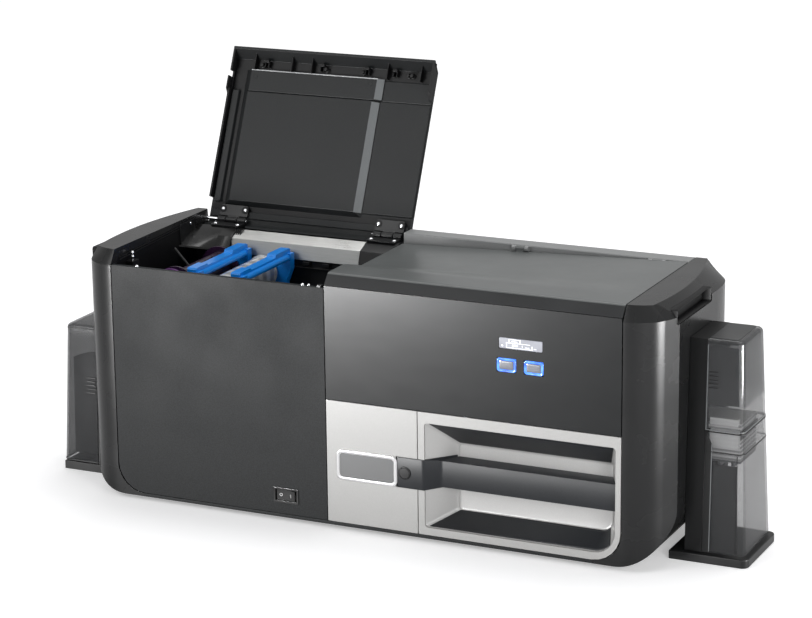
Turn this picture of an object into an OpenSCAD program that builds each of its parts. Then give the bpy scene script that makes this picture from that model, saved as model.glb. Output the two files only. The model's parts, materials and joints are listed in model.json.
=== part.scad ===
// Card printer with a laminator beside it: a long desktop machine, its left lid standing open.
// X runs along the machine to the right, Y from the front panels to the back, Z up.
// The origin is the centre of the whole machine's footprint on the table, at rest.

/* [Body] */
// Width of the laminator side, from the left end cap to the centre seam
bay_w = 272; // [250:1:320]
// Width of the printer side, from the centre seam to the right end cap
print_w = 352; // [335:1:420]
// Width of each end cap
cap_w = 48; // [44:1:60]
// Depth from the front panels to the rear panel's outer face
body_d = 232; // [226:1:260]
// Height from the panels' lower edge to the top covers
body_h = 287; // [280:1:320]
// Height of the panels' lower edge above the table
foot_gap = 10; // [8:0.5:16]
// Thickness of the moulded shells
shell_t = 3; // [2:0.25:4]
// Gap between neighbouring panels
seam = 1.2; // [0.6:0.1:2]
// Depth of the slope along the front of the top covers
slope_d = 10.5; // [6:0.5:14]
// Height of the same slope
slope_h = 12.5; // [8:0.5:16]
// Radius of the front panels' lower outer corners
corner_r = 34; // [24:1:44]

/* [End caps] */
// Width of the rounded nose at the front of a cap
nose_w = 43; // [36:1:50]
// Depth of the rounded nose
nose_d = 40; // [30:1:50]
// Width of the flat strip between nose and side, along the depth
strip_d = 18; // [10:1:26]
// Width that the cap's top bevel takes
bevel_w = 15; // [8:0.5:20]
// Height that the cap's top bevel takes
bevel_h = 17; // [8:0.5:24]
// Length of the hand grip in each cap
grip_l = 108; // [80:1:130]
// Height of the hand grip
grip_h = 17; // [12:0.5:24]
// Depth of the hand grip
grip_d = 12; // [8:0.5:18]
// Distance of the grip's front end from the front panels
grip_y = 38; // [30:1:60]
// Distance of the grip's upper edge below the top covers
grip_drop = 8; // [6:0.5:20]

/* [Front panels] */
// Height of the lower, silver panels
lower_h = 143; // [130:1:160]
// Height of the laminator's front cover below the top covers
cover_drop = 16; // [14:0.5:20]
// Depth of the flange along the top of that cover
flange_d = 6; // [4:0.5:8]
// Width of the badge panel
badge_panel_w = 112; // [104:1:130]
// Thickness of the blank badge
badge_t = 2.5; // [1.5:0.25:4]
// Width of the blank badge
badge_w = 74.5; // [60:0.5:80]
// Height of the blank badge
badge_h = 35.5; // [28:0.5:40]
// Distance of the badge from the centre seam
badge_x = 13.3; // [8:0.1:20]
// Corner radius of the badge
badge_r = 7; // [3:0.5:12]
// Diameter of the round plug beside the badge
plug_d = 15; // [10:0.5:18]

/* [Front recess] */
// Width of the frame left of the recess
recess_left = 7.5; // [6:0.5:14]
// Width of the frame right of the recess
recess_right = 6; // [5:0.5:14]
// Height of the frame below the recess
recess_sill = 8.5; // [7:0.5:14]
// Height of the recess at the front
recess_h = 121.5; // [110:0.5:124]
// Depth of the recess
recess_d = 35; // [25:1:45]
// How far the left wall leans in over that depth
taper_left = 27; // [18:1:35]
// How far the right wall leans in
taper_right = 15; // [8:1:24]
// How far the floor rises towards the back
taper_floor = 14; // [8:1:20]
// How far the ceiling comes down towards the back
taper_roof = 30; // [20:1:36]
// Radius of the recess's lower right corner
recess_r = 25; // [12:1:32]
// Radius of the recess's other corners
recess_small_r = 4; // [2:0.5:8]
// Height of the band's lower edge above the panels' lower edge
band_z = 51.5; // [44:0.5:56]
// Height of the band on the panels' face
band_h = 35.5; // [30:0.5:40]
// Height of the band inside the recess
band_inner_h = 31; // [24:0.5:34]
// How far the band is set back inside the recess
band_setback = 12; // [6:0.5:18]
// How far the band stands proud of the panels
band_proud = 0.8; // [0.4:0.1:1.5]

/* [Display and buttons] */
// Width of the display window
lcd_w = 51; // [40:0.5:60]
// Height of the display window
lcd_h = 12.5; // [10:0.5:18]
// Distance of the display from the centre seam
lcd_x = 210.5; // [200:0.5:220]
// Height of the display's lower edge
lcd_z = 226; // [222:0.5:240]
// Width of a button's light ring
ring_w = 23; // [18:0.5:26]
// Height of a button's light ring
ring_h = 16; // [12:0.5:18]
// Width of the lit rim
ring_rim = 1.4; // [1:0.1:2]
// Distance of the left ring from the centre seam
ring_x = 208; // [200:0.5:216]
// Distance from one ring to the next
ring_pitch = 31.8; // [30:0.2:36]
// Height of the rings' lower edge
ring_z = 199.7; // [194:0.1:204]
// Travel of a button
button_travel = 1.2; // [0.8:0.1:1.6]
// Clearance between a button and its ring
button_clear = 0.3; // [0.2:0.05:0.5]

/* [Power switch] */
// Width of the switch frame
switch_w = 32; // [28:0.5:36]
// Height of the switch frame
switch_h = 18.3; // [15:0.1:22]
// Distance of the switch frame's right edge from the centre seam
switch_x = 36.5; // [30:0.5:60]
// Height of the switch frame's lower edge
switch_z = 13; // [10:0.5:30]
// Width of the switch frame's border
switch_rim = 2.6; // [2:0.1:3]
// Angle between the switch's two positions
rocker_swing = 16; // [10:1:20]

/* [Laminator lid] */
// Distance of the lid's hinge line in front of the rear panel
hinge_inset = 10.5; // [10:0.5:16]
// Height of the hinge line below the top covers
hinge_drop = 9; // [8:0.5:12]
// Angle that the open lid has turned back from closed
lid_open = 114; // [95:1:118]
// Distance of the lid's front edge from the front panels
lid_front = 8; // [7:0.5:12]
// Depth of the hooked channel along the lid's front
lip_d = 32; // [24:1:40]
// Thickness of the lid's raised inner panel
inner_t = 7; // [4:0.5:9]
// Width of the lid's bare strip right of the inner panel
bare_w = 62; // [50:1:80]
// Number of ribs in the lid's front channel
rib_count = 9; // [4:1:12]
// Height of those ribs
rib_h = 8; // [5:0.5:10]
// Width of a hinge
hinge_w = 38; // [34:1:48]
// Distance of the left hinge's centre from the lid's left edge
hinge_left = 35; // [30:1:60]
// Distance of the right hinge's centre from the lid's right edge
hinge_right = 26; // [24:1:60]
// Outer radius of the hinge knuckles
knuckle_r = 4; // [3.5:0.25:4.25]
// Radius of the hinge pins
pin_r = 2; // [1.5:0.1:2.2]
// Reach of a hinge leaf in front of the hinge line
leaf_reach = 21; // [19.5:0.5:23]
// Thickness of a hinge leaf
leaf_t = 2; // [1.5:0.1:2.5]
// Distance of the lower leaf's screws in front of the hinge line
lower_screw_d = 14; // [12:0.5:16]
// Distance of the upper leaf's screws in front of the hinge line
upper_screw_d = 12.5; // [12:0.25:14]
// Distance between a hinge's two screws
screw_pitch = 30; // [24:0.5:32]
// Radius of the screw heads
screw_r = 2.6; // [2:0.1:3]
// Depth of the sloping top of the rail in front of the hinges
rail_d = 18; // [15:0.5:20]
// Depth that the rail's front face leans over
rail_lean = 5; // [3:0.5:7]
// Height that the rail's top slopes down
rail_fall = 7; // [5:0.5:9]
// Height of the rail's front face
rail_face = 17; // [13:0.5:20]
// Thickness of the rail's sheet
rail_t = 2; // [1.5:0.1:2.5]

/* [Printer cover] */
// Depth of the dip in the cover's back left part
dip = 12; // [6:0.5:13]
// Distance from the front at which the dip starts
dip_start = 45; // [30:1:60]
// Distance from the front at which the dip is full
dip_full = 98; // [80:1:130]
// Depth of the strip behind the cover
strip_top_d = 24; // [22:0.5:30]
// Height of the strip's front flange
strip_h = 24; // [20:0.5:28]
// Radius of the cover's hinge knuckles
cover_knuckle_r = 3; // [2.5:0.25:3]
// Radius of the cover's hinge pins
cover_pin_r = 1.4; // [1:0.1:1.6]
// Distance of the left cover hinge from the centre seam
cover_hinge_a = 150; // [120:1:170]
// Distance of the right cover hinge from the cover's right edge
cover_hinge_edge = 36; // [24:1:60]

/* [Mechanism] */
// Height of the mechanism's deck
deck_z = 108; // [100:1:110]
// Thickness of the deck and the frame plates
plate_t = 3; // [2:0.25:4]
// Distance of the frame plates' top below the top covers
frame_drop = 76; // [72:1:80]
// Distance of the front frame plates from the front panels
frame_front = 40; // [36:1:46]
// Distance of the rear frame plates from the rear panel's outer face
frame_rear = 50; // [46:1:54]
// Radius of the laminating rollers
roller_r = 9; // [7:0.25:9.5]
// Height of the card path above the deck's top
path_h = 21; // [20.5:0.5:24]
// Distance of the laminating rollers from the centre seam
roller_x = 56; // [48:1:62]
// Radius of a roller's or spool's journal
journal_r = 4; // [3:0.25:5]
// Radial clearance of the running journals
run_clear = 0.06; // [0.03:0.01:0.09]
// Number of teeth on each roller gear
gear_teeth = 18; // [14:2:22]

/* [Film cartridges] */
// Distances of the two cartridges' handles from the centre seam
handle_xs = [195, 138];
// Width of a handle bar
handle_w = 12; // [9:0.5:16]
// Thickness of a handle bar
handle_t = 8; // [6:0.5:11]
// Distance of the handles' tops below the top covers
handle_drop = 24; // [23:0.5:30]
// Radius of a full film roll
film_r = 18; // [14:0.5:18.5]
// Radius of a spool's flanges
flange_rs = [25, 19.5];
// Distance of a film roll's axis below the handle's top
film_drop = 28; // [27:0.5:32]
// Distance of a film roll's axis beside its handle
film_side = 26; // [24.5:0.5:28]
// Radius of the take-up rolls
takeup_r = 10; // [8:0.5:12]

/* [Ribbon] */
// Distance of the ribbon supply spool from the centre seam
ribbon_in_x = 120; // [110:1:130]
// Distance of the ribbon take-up spool from the centre seam
ribbon_out_x = 245; // [235:1:260]
// Radius of the ribbon supply roll
ribbon_in_r = 20; // [16:0.5:24]
// Distance from a ribbon spool to the nearer end of its frame plate
ribbon_side = 35; // [32:1:40]
// Radius of the ribbon take-up roll
ribbon_out_r = 13; // [10:0.5:18]
// Radius of the platen roller
platen_r = 10; // [8:0.5:10]
// Width of the print head
head_w = 22; // [18:0.5:26]
// Height of the print head's wedge above the card path
head_wedge = 14; // [10:0.5:18]
// Height of the print head's body above the card path
head_h = 40; // [34:1:44]
// Height of the cooling fins on the print head
fin_h = 10; // [6:0.5:12]
// Distance from one cooling fin to the next
fin_pitch = 20; // [16:0.5:22]

/* [Hoppers] */
// How far each hopper stands out beyond its end cap
hopper_out = 69; // [66:1:90]
// Distance of the hoppers' front from the front panels
hopper_y = 75; // [66:1:80]
// Depth of the hoppers
hopper_d = 74; // [68:1:84]
// Height of the input hopper's top
hopper_top = 240; // [225:1:246]
// Height of the parting line between the two doors
door_split = 139; // [120:1:142]
// Height of the output hopper's top
output_top = 171; // [160:1:190]
// Thickness of the smoked doors
door_t = 2.2; // [1.5:0.1:3]
// How much wider the hopper is at its foot
hopper_flare = 9; // [4:0.5:12]
// Width of the docking frame beside the end cap
dock_w = 20; // [16:0.5:24]
// How far the foot plate stands out round the hopper
foot_margin = 5; // [3:0.5:8]
// Gap between the doors and their neighbours
door_gap = 0.8; // [0.5:0.1:1.5]
// Length of a card
card_l = 85.6; // [80:0.1:90]
// Width of a card
card_w = 54; // [50:0.1:58]
// Height of the cards in the upper compartment
upper_cards = 8; // [3:0.5:20]
// Height of the cards on the lift tray
lower_cards = 24; // [8:0.5:30]
// Height that the lift tray sinks when the lower compartment is full
lift_travel = 70; // [40:5:75]

/* [Back] */
// Width of the mains inlet
inlet_w = 47; // [40:1:50]
// Height of the mains inlet
inlet_h = 28; // [24:1:32]
// Distance of the mains inlet from the cover's right edge
inlet_edge = 5; // [3:0.5:12]
// Height of the mains inlet's lower edge
inlet_z = 34; // [30:1:44]
// Depth of the mains inlet
inlet_d = 24; // [20:1:28]
// Widths of the two data sockets
port_ws = [16, 12];
// Heights of the two data sockets
port_hs = [14, 11];
// Distance from one data socket to the next
port_pitch = 28; // [22:1:34]
// Distance of the first data socket from the mains inlet
port_side = 74; // [64:1:90]
// Height of the data sockets' lower edge
port_z = 36; // [30:1:44]
// Depth of the data sockets
port_d = 20; // [16:1:24]
// Number of slots in each ventilation grille
vent_count = 14; // [8:1:18]
// Height of a ventilation slot
vent_h = 34; // [20:1:40]
// Width of a ventilation slot
vent_w = 3; // [2:0.5:4]
// Height of the ventilation grilles' lower edge
vent_z = 60; // [40:1:80]

/* [Hidden] */
$fn = 48;

// Places across the machine, from the centre seam
left_x = -bay_w - seam;
right_x = print_w + seam;
half_seam = seam / 2;
// Heights, from the panels' lower edge
slope_z = body_h - slope_h;
cover_h = body_h - cover_drop;
deck_top = deck_z + plate_t;
path_z = deck_top + path_h;
frame_top = body_h - frame_drop;
frame_back = body_d - frame_rear;
under_z = -4.5;
// The lid's hinge line and the machine's reach with the lid open
hinge_y = body_d - hinge_inset;
hinge_z = body_h - hinge_drop;
lid_slope_d = 12;
lid_rise = 0.5;
lid_back_y = hinge_y + (lid_front + lid_slope_d - hinge_y) * cos(lid_open)
    + (body_h + lid_rise - hinge_z) * sin(lid_open);
centre_x = (left_x + right_x) / 2;
centre_y = (lid_back_y - badge_t) / 2;
// Gap between pieces of the same body that rest beside each other
fit_gap = 0.3;
// How far a rib runs into the wall that carries it
weld = 0.5;
// Outline of the end caps
nose_end = 67;
cap_reach = 40;
foot_r = 58;
top_bow = 0.0011;
bow_mid = 95;
// The cover's hinge line
strip_y = body_d - strip_top_d;
cover_axis_y = strip_y - cover_knuckle_r - 0.5;
cover_axis_z = body_h - cover_knuckle_r;
// The hoppers, seen from their end cap's outer side
hopper_mid = hopper_y + hopper_d / 2;
window_w = card_w + 3;
tray_t = 8;
tray_top = path_z - 5 - lower_cards;
window_z = tray_top - tray_t - lift_travel - 5;
shelf_z = path_z + 2;
door_u = dock_w + door_gap;
// the window in a cap starts inside the rounded wall at the window's lower edge
window_u = cap_w - foot_r + sqrt(pow(foot_r - shell_t, 2) - pow(foot_r + under_z - window_z, 2)) - 1;
pin_u = dock_w + 5;
door_pin_r = 1.6;
ear_r = 3.2;
ear_t = 5;

// Points of an arc round c
function arc(c, r, a0, a1, n = 10) =
    [for (i = [0:n]) c + r * [cos(a0 + (a1 - a0) * i / n), sin(a0 + (a1 - a0) * i / n)]];

// A rectangle's outline with rounded corners: lower left, lower right, upper right, upper left
function frame_outline(a, b, r) = concat(
    arc([a[0] + r[0], a[1] + r[0]], r[0], 180, 270, 6),
    arc([b[0] - r[1], a[1] + r[1]], r[1], 270, 360, 6),
    arc([b[0] - r[2], b[1] - r[2]], r[2], 0, 90, 6),
    arc([a[0] + r[3], b[1] - r[3]], r[3], 90, 180, 6));

// Smooth step from 0 at a to 1 at b
function ease(t, a, b) = let (s = min(1, max(0, (t - a) / (b - a)))) s * s * (3 - 2 * s);

// Sets the machine on the table with its origin at the footprint's centre
module place() translate([-centre_x, -centre_y, foot_gap]) children();

// A block between two opposite corners
module block(a, b) translate(a) cube(b - a);

// Stands a front-view shape up at depth y, t thick
module upright(y, t) translate([0, y + t, 0]) rotate([90, 0, 0]) linear_extrude(t) children();

// Extrudes a side-view shape (Y, Z) from x0 to x1
module along_x(x0, x1) translate([x0, 0, 0]) rotate([90, 0, 90]) linear_extrude(x1 - x0) children();

// A rod along X, Y or Z
module rod_x(x0, x1, y, z, r) translate([x0, y, z]) rotate([0, 90, 0]) cylinder(h = x1 - x0, r = r);
module rod_y(x, y0, y1, z, r) translate([x, y0, z]) rotate([-90, 0, 0]) cylinder(h = y1 - y0, r = r);
module rod_z(x, y, z0, z1, r) translate([x, y, z0]) cylinder(h = z1 - z0, r = r);

// Turns what is drawn closed into the open lid's place
module opened() translate([0, hinge_y, hinge_z]) rotate([-lid_open, 0, 0])
    translate([0, -hinge_y, -hinge_z]) children();

// ---- End caps, drawn outwards from the seam in u ----

module left_side(u = 0) translate([left_x - u, 0, 0]) mirror([1, 0, 0]) children();
module right_side(u = 0) translate([right_x + u, 0, 0]) children();

// Plan of a cap at its full width, drawn in by i
function cap_plan(i) = concat(
    [[-cap_reach, i]],
    [for (k = [0:8]) let (t = nose_end * k / 8)
        [(nose_w - i) * sin(t), nose_d - (nose_d - i) * cos(t)]],
    [[cap_w - i, nose_d * (1 - cos(nose_end)) + strip_d],
     [cap_w - i, body_d * 0.62],
     [cap_w - 2 - i, body_d - 32],
     [cap_w - 10 - i, body_d - 10],
     [cap_w - 22 - i, body_d - i],
     [-cap_reach, body_d - i]]);

// Plan of the cap's flat top, drawn in by i
function cap_top(i) = concat(
    [[-cap_reach, slope_d + i], [0, slope_d + i]],
    [for (k = [0:8]) let (v = slope_d + 8 + (body_d - 22 - slope_d) * k / 8)
        [cap_w - bevel_w - i - top_bow * pow(v - bow_mid, 2), v]],
    [[0, body_d - 2 - i], [-cap_reach, body_d - 2 - i]]);

// The cap's outer form before its foot is rounded
module cap_form(i) hull() {
    translate([0, 0, under_z]) linear_extrude(body_h - bevel_h - under_z) polygon(cap_plan(i));
    translate([0, 0, body_h - i - 1]) linear_extrude(1) polygon(cap_top(i));
}

// Front view of a cap: its inner side follows the front panels' rounded corner
cap_face = concat(
    [[0, body_h + 1]],
    arc([-corner_r, corner_r - half_seam], corner_r, 0, -90, 8),
    [[-corner_r, under_z]],
    arc([cap_w - foot_r, under_z + foot_r], foot_r, -90, 0, 10),
    [[cap_w + 1, body_h + 1]]);

// Front view of the space inside a cap, which is open towards the body where it has no inner wall
function cap_space(wall) = concat(
    [[wall > 0 ? wall : -0.5, body_h]],
    [[wall > 0 ? wall : -0.5,
        under_z + foot_r - sqrt(pow(foot_r - shell_t, 2) - pow(wall - cap_w + foot_r, 2))]],
    [for (p = arc([cap_w - foot_r, under_z + foot_r], foot_r - shell_t, -60, 0, 8)) if (p[0] > wall) p],
    [[cap_w - shell_t, body_h]]);

module grip_block(i) block(
    [cap_w - grip_d - i, grip_y - i, body_h - grip_drop - grip_h - i],
    [cap_w + 5, grip_y + grip_l + i, body_h - grip_drop + i]);

module end_cap(wall, window_top) difference() {
    union() {
        difference() {
            intersection() {
                cap_form(0);
                upright(-1, body_d + 2) polygon(cap_face);
            }
            intersection() {
                cap_form(shell_t);
                upright(0, body_d) polygon(cap_space(wall));
            }
        }
        intersection() {
            cap_form(0.5);
            grip_block(shell_t);
            block([shell_t, 0, 0], [cap_w + 1, body_d, body_h]);
        }
    }
    grip_block(0);
    block([window_u, hopper_mid - window_w / 2, window_z],
        [cap_w + 1, hopper_mid + window_w / 2, window_top]);
    if (wall > 0) block([-1, shell_t * 2, 40], [wall + 1, body_d - shell_t * 2, deck_z - 4]);
}

module left_end_cap() place() color([0.09, 0.09, 0.1]) left_side() end_cap(shell_t, output_top - 12);
module right_end_cap() place() color([0.09, 0.09, 0.1]) right_side() end_cap(0, hopper_top - 14);

// ---- Base and back ----

tray_front = shell_t + 2;
tray_back = body_d - shell_t - fit_gap;
tray_x0 = left_x + 4 + corner_r;
tray_x1 = right_x - 4 - corner_r;
tray_wall_z = switch_z - 2;
tub_wall = 2.5;
tub_back = recess_d + tub_wall + fit_gap;
rib_xs = [tray_x0, -40, 40, tray_x1 - 3];

module base_tray() place() color([0.12, 0.12, 0.13]) difference() {
    union() {
        block([left_x + corner_r, 0, under_z], [right_x - corner_r, 6, -seam / 2]);
        block([tray_x0, tray_front, under_z], [tray_x1, tray_back, under_z + 3]);
        for (y = [tray_front, tray_back - 3])
            block([tray_x0, y, under_z], [tray_x1, y + 3, tray_wall_z]);
        for (x = rib_xs) block([x, tray_front, under_z], [x + 3, tray_back, tray_wall_z]);
    }
    for (x = [left_x * 0.55, right_x * 0.34, right_x * 0.71], k = [0:7])
        block([x + k * 9, body_d * 0.3, under_z - 1], [x + k * 9 + 4, body_d * 0.65, under_z + 4]);
    // room for the recess's tub
    block([badge_panel_w, tray_front - 0.01, recess_sill - tub_wall - 2],
        [right_x, tub_back, tray_wall_z + 1]);
}

foot_xs = [left_x + 50, centre_x, right_x - 50];
foot_ys = [28, body_d - 28];
foot_pad_r = 12;

module rubber_feet() place() color([0.05, 0.05, 0.05])
    for (x = foot_xs, y = foot_ys) rod_z(x, y, -foot_gap, under_z, foot_pad_r);

vent_pitch = vent_w * 2.2;

module vent_row(x, z) for (k = [0:vent_count - 1])
    block([x + k * vent_pitch, body_d - shell_t - 1, z], [x + k * vent_pitch + vent_w, body_d + 1, z + vent_h]);

inlet_x = print_w - inlet_edge - inlet_w;
port_x = inlet_x - port_side;
// the data sockets' flanges fill one window: its left edge, the line between them and its right edge
port_rim = 8;
port_edges = [port_x - port_rim, port_x + (port_ws[0] + port_pitch) / 2,
    port_x + port_pitch + port_ws[1] + port_rim];
port_floor = port_z - port_rim;
port_roof = port_z + port_hs[0] + port_rim;

module rear_panel() place() color([0.13, 0.13, 0.14]) difference() {
    upright(body_d - shell_t, shell_t) polygon(frame_outline(
        [left_x + fit_gap, 0], [right_x - fit_gap, hinge_z + 3], [corner_r, corner_r, 0.01, 0.01]));
    // lower behind the laminator, so that the lid's rolled edge can turn past it
    block([left_x, body_d - shell_t - 1, hinge_z - 6.5], [0, body_d + 1, body_h]);
    for (x = [left_x * 0.8, left_x * 0.33, right_x * 0.2]) vent_row(x, vent_z);
    block([inlet_x, body_d - shell_t - 1, inlet_z], [inlet_x + inlet_w, body_d + 1, inlet_z + inlet_h]);
    block([port_edges[0], body_d - shell_t - 1, port_floor], [port_edges[2], body_d + 1, port_roof]);
}

// Power inlet and two data sockets, each a shell open to the back; any child is a flange round it
module socket(x, z, w, h, d) difference() {
    union() {
        block([x + 0.2, body_d - d, z + 0.2], [x + w - 0.2, body_d + 0.8, z + h - 0.2]);
        children();
    }
    block([x + 2, body_d - d + 2, z + 2], [x + w - 2, body_d + 2, z + h - 2]);
}

module rear_sockets() place() color([0.06, 0.06, 0.06]) {
    socket(inlet_x, inlet_z, inlet_w, inlet_h, inlet_d);
    for (k = [-1:1]) rod_y(inlet_x + inlet_w * (3 + k) / 6, body_d - inlet_d + 1.5, body_d - 6,
        inlet_z + inlet_h / 2 - abs(k) * 2, 1.6);
    for (k = [0, 1]) socket(port_x + k * port_pitch, port_z, port_ws[k], port_hs[k], port_d)
        block([port_edges[k] + 0.2, body_d - shell_t, port_floor + 0.2],
            [port_edges[k + 1] - 0.2, body_d, port_roof - 0.2]);
}

// The strip behind the printer's cover, with the ears of its hinges
strip_x0 = half_seam;
strip_x1 = print_w + half_seam;
ear_w = 5;
knuckle_w = 10;
ear_gap = 0.4;
cover_hinges = [cover_hinge_a, print_w - cover_hinge_edge];

module rear_top_strip() place() color([0.16, 0.16, 0.17]) difference() {
    union() {
        along_x(strip_x0, strip_x1) polygon([
            [strip_y, body_h - strip_h], [strip_y, body_h - 1], [strip_y + 1, body_h],
            [body_d - 3, body_h], [body_d, body_h - 3], [body_d, hinge_z + 3.3],
            [body_d - shell_t, hinge_z + 3.3], [body_d - shell_t, body_h - shell_t],
            [strip_y + shell_t, body_h - shell_t], [strip_y + shell_t, body_h - strip_h]]);
        for (x = cover_hinges, s = [-1, 1]) {
            e = x + s * (knuckle_w + ear_w + 2 * ear_gap) / 2;
            rod_x(e - ear_w / 2, e + ear_w / 2, cover_axis_y, cover_axis_z, cover_knuckle_r);
            block([e - ear_w / 2, cover_axis_y, cover_axis_z - cover_knuckle_r],
                [e + ear_w / 2, strip_y + 0.5, cover_axis_z]);
        }
    }
    for (x = cover_hinges)
        rod_x(x - knuckle_w, x + knuckle_w, cover_axis_y, cover_axis_z, cover_pin_r);
}

module cover_hinge_pins() place() color([0.7, 0.7, 0.72]) for (x = cover_hinges)
    rod_x(x - knuckle_w, x + knuckle_w, cover_axis_y, cover_axis_z, cover_pin_r);

// ---- Front panels ----

module left_front_cover() place() color([0.2, 0.2, 0.21]) difference() {
    union() {
        upright(0, shell_t) polygon(frame_outline(
            [-bay_w, 0], [-half_seam, cover_h], [corner_r, 0.5, 0.5, 0.5]));
        block([-bay_w, 0, cover_h - 2.5], [-half_seam, flange_d, cover_h]);
        for (x = [-bay_w, -half_seam - 2.5]) block([x, 0, corner_r], [x + 2.5, flange_d + 4, cover_h - 8]);
    }
    block([-switch_x - switch_w + switch_rim - 0.5, -1, switch_z + switch_rim - 0.5],
        [-switch_x - switch_rim + 0.5, shell_t + 1, switch_z + switch_h - switch_rim + 0.5]);
}

module upper_front_panel() place() color([0.05, 0.05, 0.05]) difference() {
    upright(0, shell_t) polygon(frame_outline(
        [half_seam, lower_h + half_seam], [print_w, slope_z - seam / 2], [0.5, 0.5, 0.5, 0.5]));
    block([lcd_x, -1, lcd_z], [lcd_x + lcd_w, shell_t + 1, lcd_z + lcd_h]);
    for (k = [0, 1]) block([ring_x + k * ring_pitch, -1, ring_z],
        [ring_x + k * ring_pitch + ring_w, shell_t + 1, ring_z + ring_h]);
}

module badge_panel() place() color([0.72, 0.73, 0.75]) difference() {
    upright(0, shell_t) polygon(frame_outline(
        [half_seam, 0], [badge_panel_w, lower_h - half_seam], [0.5, 0.5, 0.5, 0.5]));
    block([badge_x + badge_w - 2, -1, band_z - 0.2], [badge_panel_w + 1, shell_t + 1, band_z + band_h + 0.2]);
}

// The recess's opening on the front face, and its back wall
recess_x0 = badge_panel_w + seam + recess_left;
recess_x1 = print_w - recess_right;
recess_z1 = recess_sill + recess_h;
recess_mouth = frame_outline([recess_x0, recess_sill], [recess_x1, recess_z1],
    [recess_small_r, recess_r, recess_small_r, recess_small_r]);
recess_rear = frame_outline([recess_x0 + taper_left, recess_sill + taper_floor],
    [recess_x1 - taper_right, recess_z1 - taper_roof],
    [recess_small_r, recess_r * 0.5, recess_small_r, recess_small_r]);

module recess_panel() place() color([0.72, 0.73, 0.75]) difference() {
    upright(0, shell_t) polygon(frame_outline(
        [badge_panel_w + seam, 0], [print_w, lower_h - half_seam], [0.5, corner_r - half_seam, 0.5, 0.5]));
    upright(-1, shell_t + 2) polygon(recess_mouth);
    block([badge_panel_w, -1, band_z - 0.2], [recess_x0 + 1, shell_t + 1, band_z + band_h + 0.2]);
}

// The tapered tub behind the recess's opening: mouth at the panel's back, rear wall at its depth
module recess_tub() place() color([0.3, 0.3, 0.31]) difference() {
    hull() {
        upright(shell_t, 0.5) offset(delta = tub_wall) polygon(recess_mouth);
        upright(recess_d + tub_wall - 0.5, 0.5) offset(delta = tub_wall) polygon(recess_rear);
    }
    hull() {
        upright(shell_t - 0.02, 0.02) polygon(recess_mouth);
        upright(recess_d - 0.02, 0.02) polygon(recess_rear);
    }
}

// Plan of the band: flat over the panels, round the recess's left wall, then set back inside
band_x0 = badge_x + badge_w + fit_gap;
function wall_left(y) = recess_x0 + taper_left * max(0, y - shell_t) / (recess_d - shell_t);
function wall_right(y) = recess_x1 - taper_right * max(0, y - shell_t) / (recess_d - shell_t);
band_fold = wall_left(band_setback) + 7;
band_inner_z = band_z + (band_h - band_inner_h) / 2;

module band_slab(z, h, points) translate([0, 0, z]) linear_extrude(h) polygon(points);

module trim_band() place() color([0.2, 0.2, 0.21]) {
    back = recess_d - fit_gap;
    corner = wall_left(back) + fit_gap;
    band_slab(band_z, band_h, [
        [band_x0, -band_proud], [recess_x0, -band_proud],
        [recess_x0, shell_t - fit_gap], [band_x0, shell_t - fit_gap]]);
    hull() {
        band_slab(band_z, band_h, [[recess_x0 - 0.01, -band_proud], [recess_x0, -band_proud],
            [recess_x0, shell_t - fit_gap], [recess_x0 - 0.01, shell_t - fit_gap]]);
        band_slab(band_inner_z, band_inner_h, [
            [band_fold, band_setback], [corner, band_setback], [corner, back]]);
    }
    band_slab(band_inner_z, band_inner_h, [
        [band_fold, band_setback], [wall_right(band_setback) - fit_gap, band_setback],
        [wall_right(back) - fit_gap, back], [corner, back]]);
}

badge_z = band_z + (band_h - badge_h) / 2;

module badge_plate() place() color([0.8, 0.8, 0.82]) difference() {
    upright(-badge_t, badge_t) polygon(frame_outline(
        [badge_x, badge_z], [badge_x + badge_w, badge_z + badge_h], [for (k = [0:3]) badge_r]));
    upright(-badge_t - 1, 2) polygon(frame_outline(
        [badge_x + 3, badge_z + 3], [badge_x + badge_w - 3, badge_z + badge_h - 3],
        [for (k = [0:3]) badge_r - 3]));
}

plug_x = badge_panel_w - plug_d;

module lock_plug() place() color([0.15, 0.15, 0.16]) difference() {
    rod_y(plug_x, -band_proud - 1.2, -band_proud, band_z + band_h / 2, plug_d / 2);
    rod_y(plug_x, -band_proud - 1.3, -band_proud - 0.6, band_z + band_h / 2, plug_d / 2 - 1.5);
}

module display_window() place() color([0.3, 0.35, 0.4]) block(
    [lcd_x + 0.2, 0.4, lcd_z + 0.2], [lcd_x + lcd_w - 0.2, shell_t, lcd_z + lcd_h - 0.2]);

module ring_block(k, i, y0, y1) upright(y0, y1 - y0) polygon(frame_outline(
    [ring_x + k * ring_pitch + i, ring_z + i],
    [ring_x + k * ring_pitch + ring_w - i, ring_z + ring_h - i], [for (j = [0:3]) 1.2]));

module button_light_rings() place() color([0.2, 0.45, 1]) for (k = [0, 1]) difference() {
    ring_block(k, 0.1, -0.4, shell_t + 4);
    ring_block(k, ring_rim, -1, shell_t + 5);
}

module push_button(k) {
    ring_block(k, ring_rim + button_clear, -button_travel - 0.2, shell_t + 3);
    translate([ring_x + k * ring_pitch + ring_w / 2 - 3, shell_t + 3, ring_z + ring_h / 2 - 3]) cube([6, 5, 6]);
}

module left_button() place() color([0.6, 0.62, 0.65]) push_button(0);
module right_button() place() color([0.6, 0.62, 0.65]) push_button(1);

// ---- Power switch ----

rocker_x = -switch_x - switch_w / 2;
rocker_half = switch_w / 2 - switch_rim - 0.8;
rocker_y = 2.2;

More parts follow.
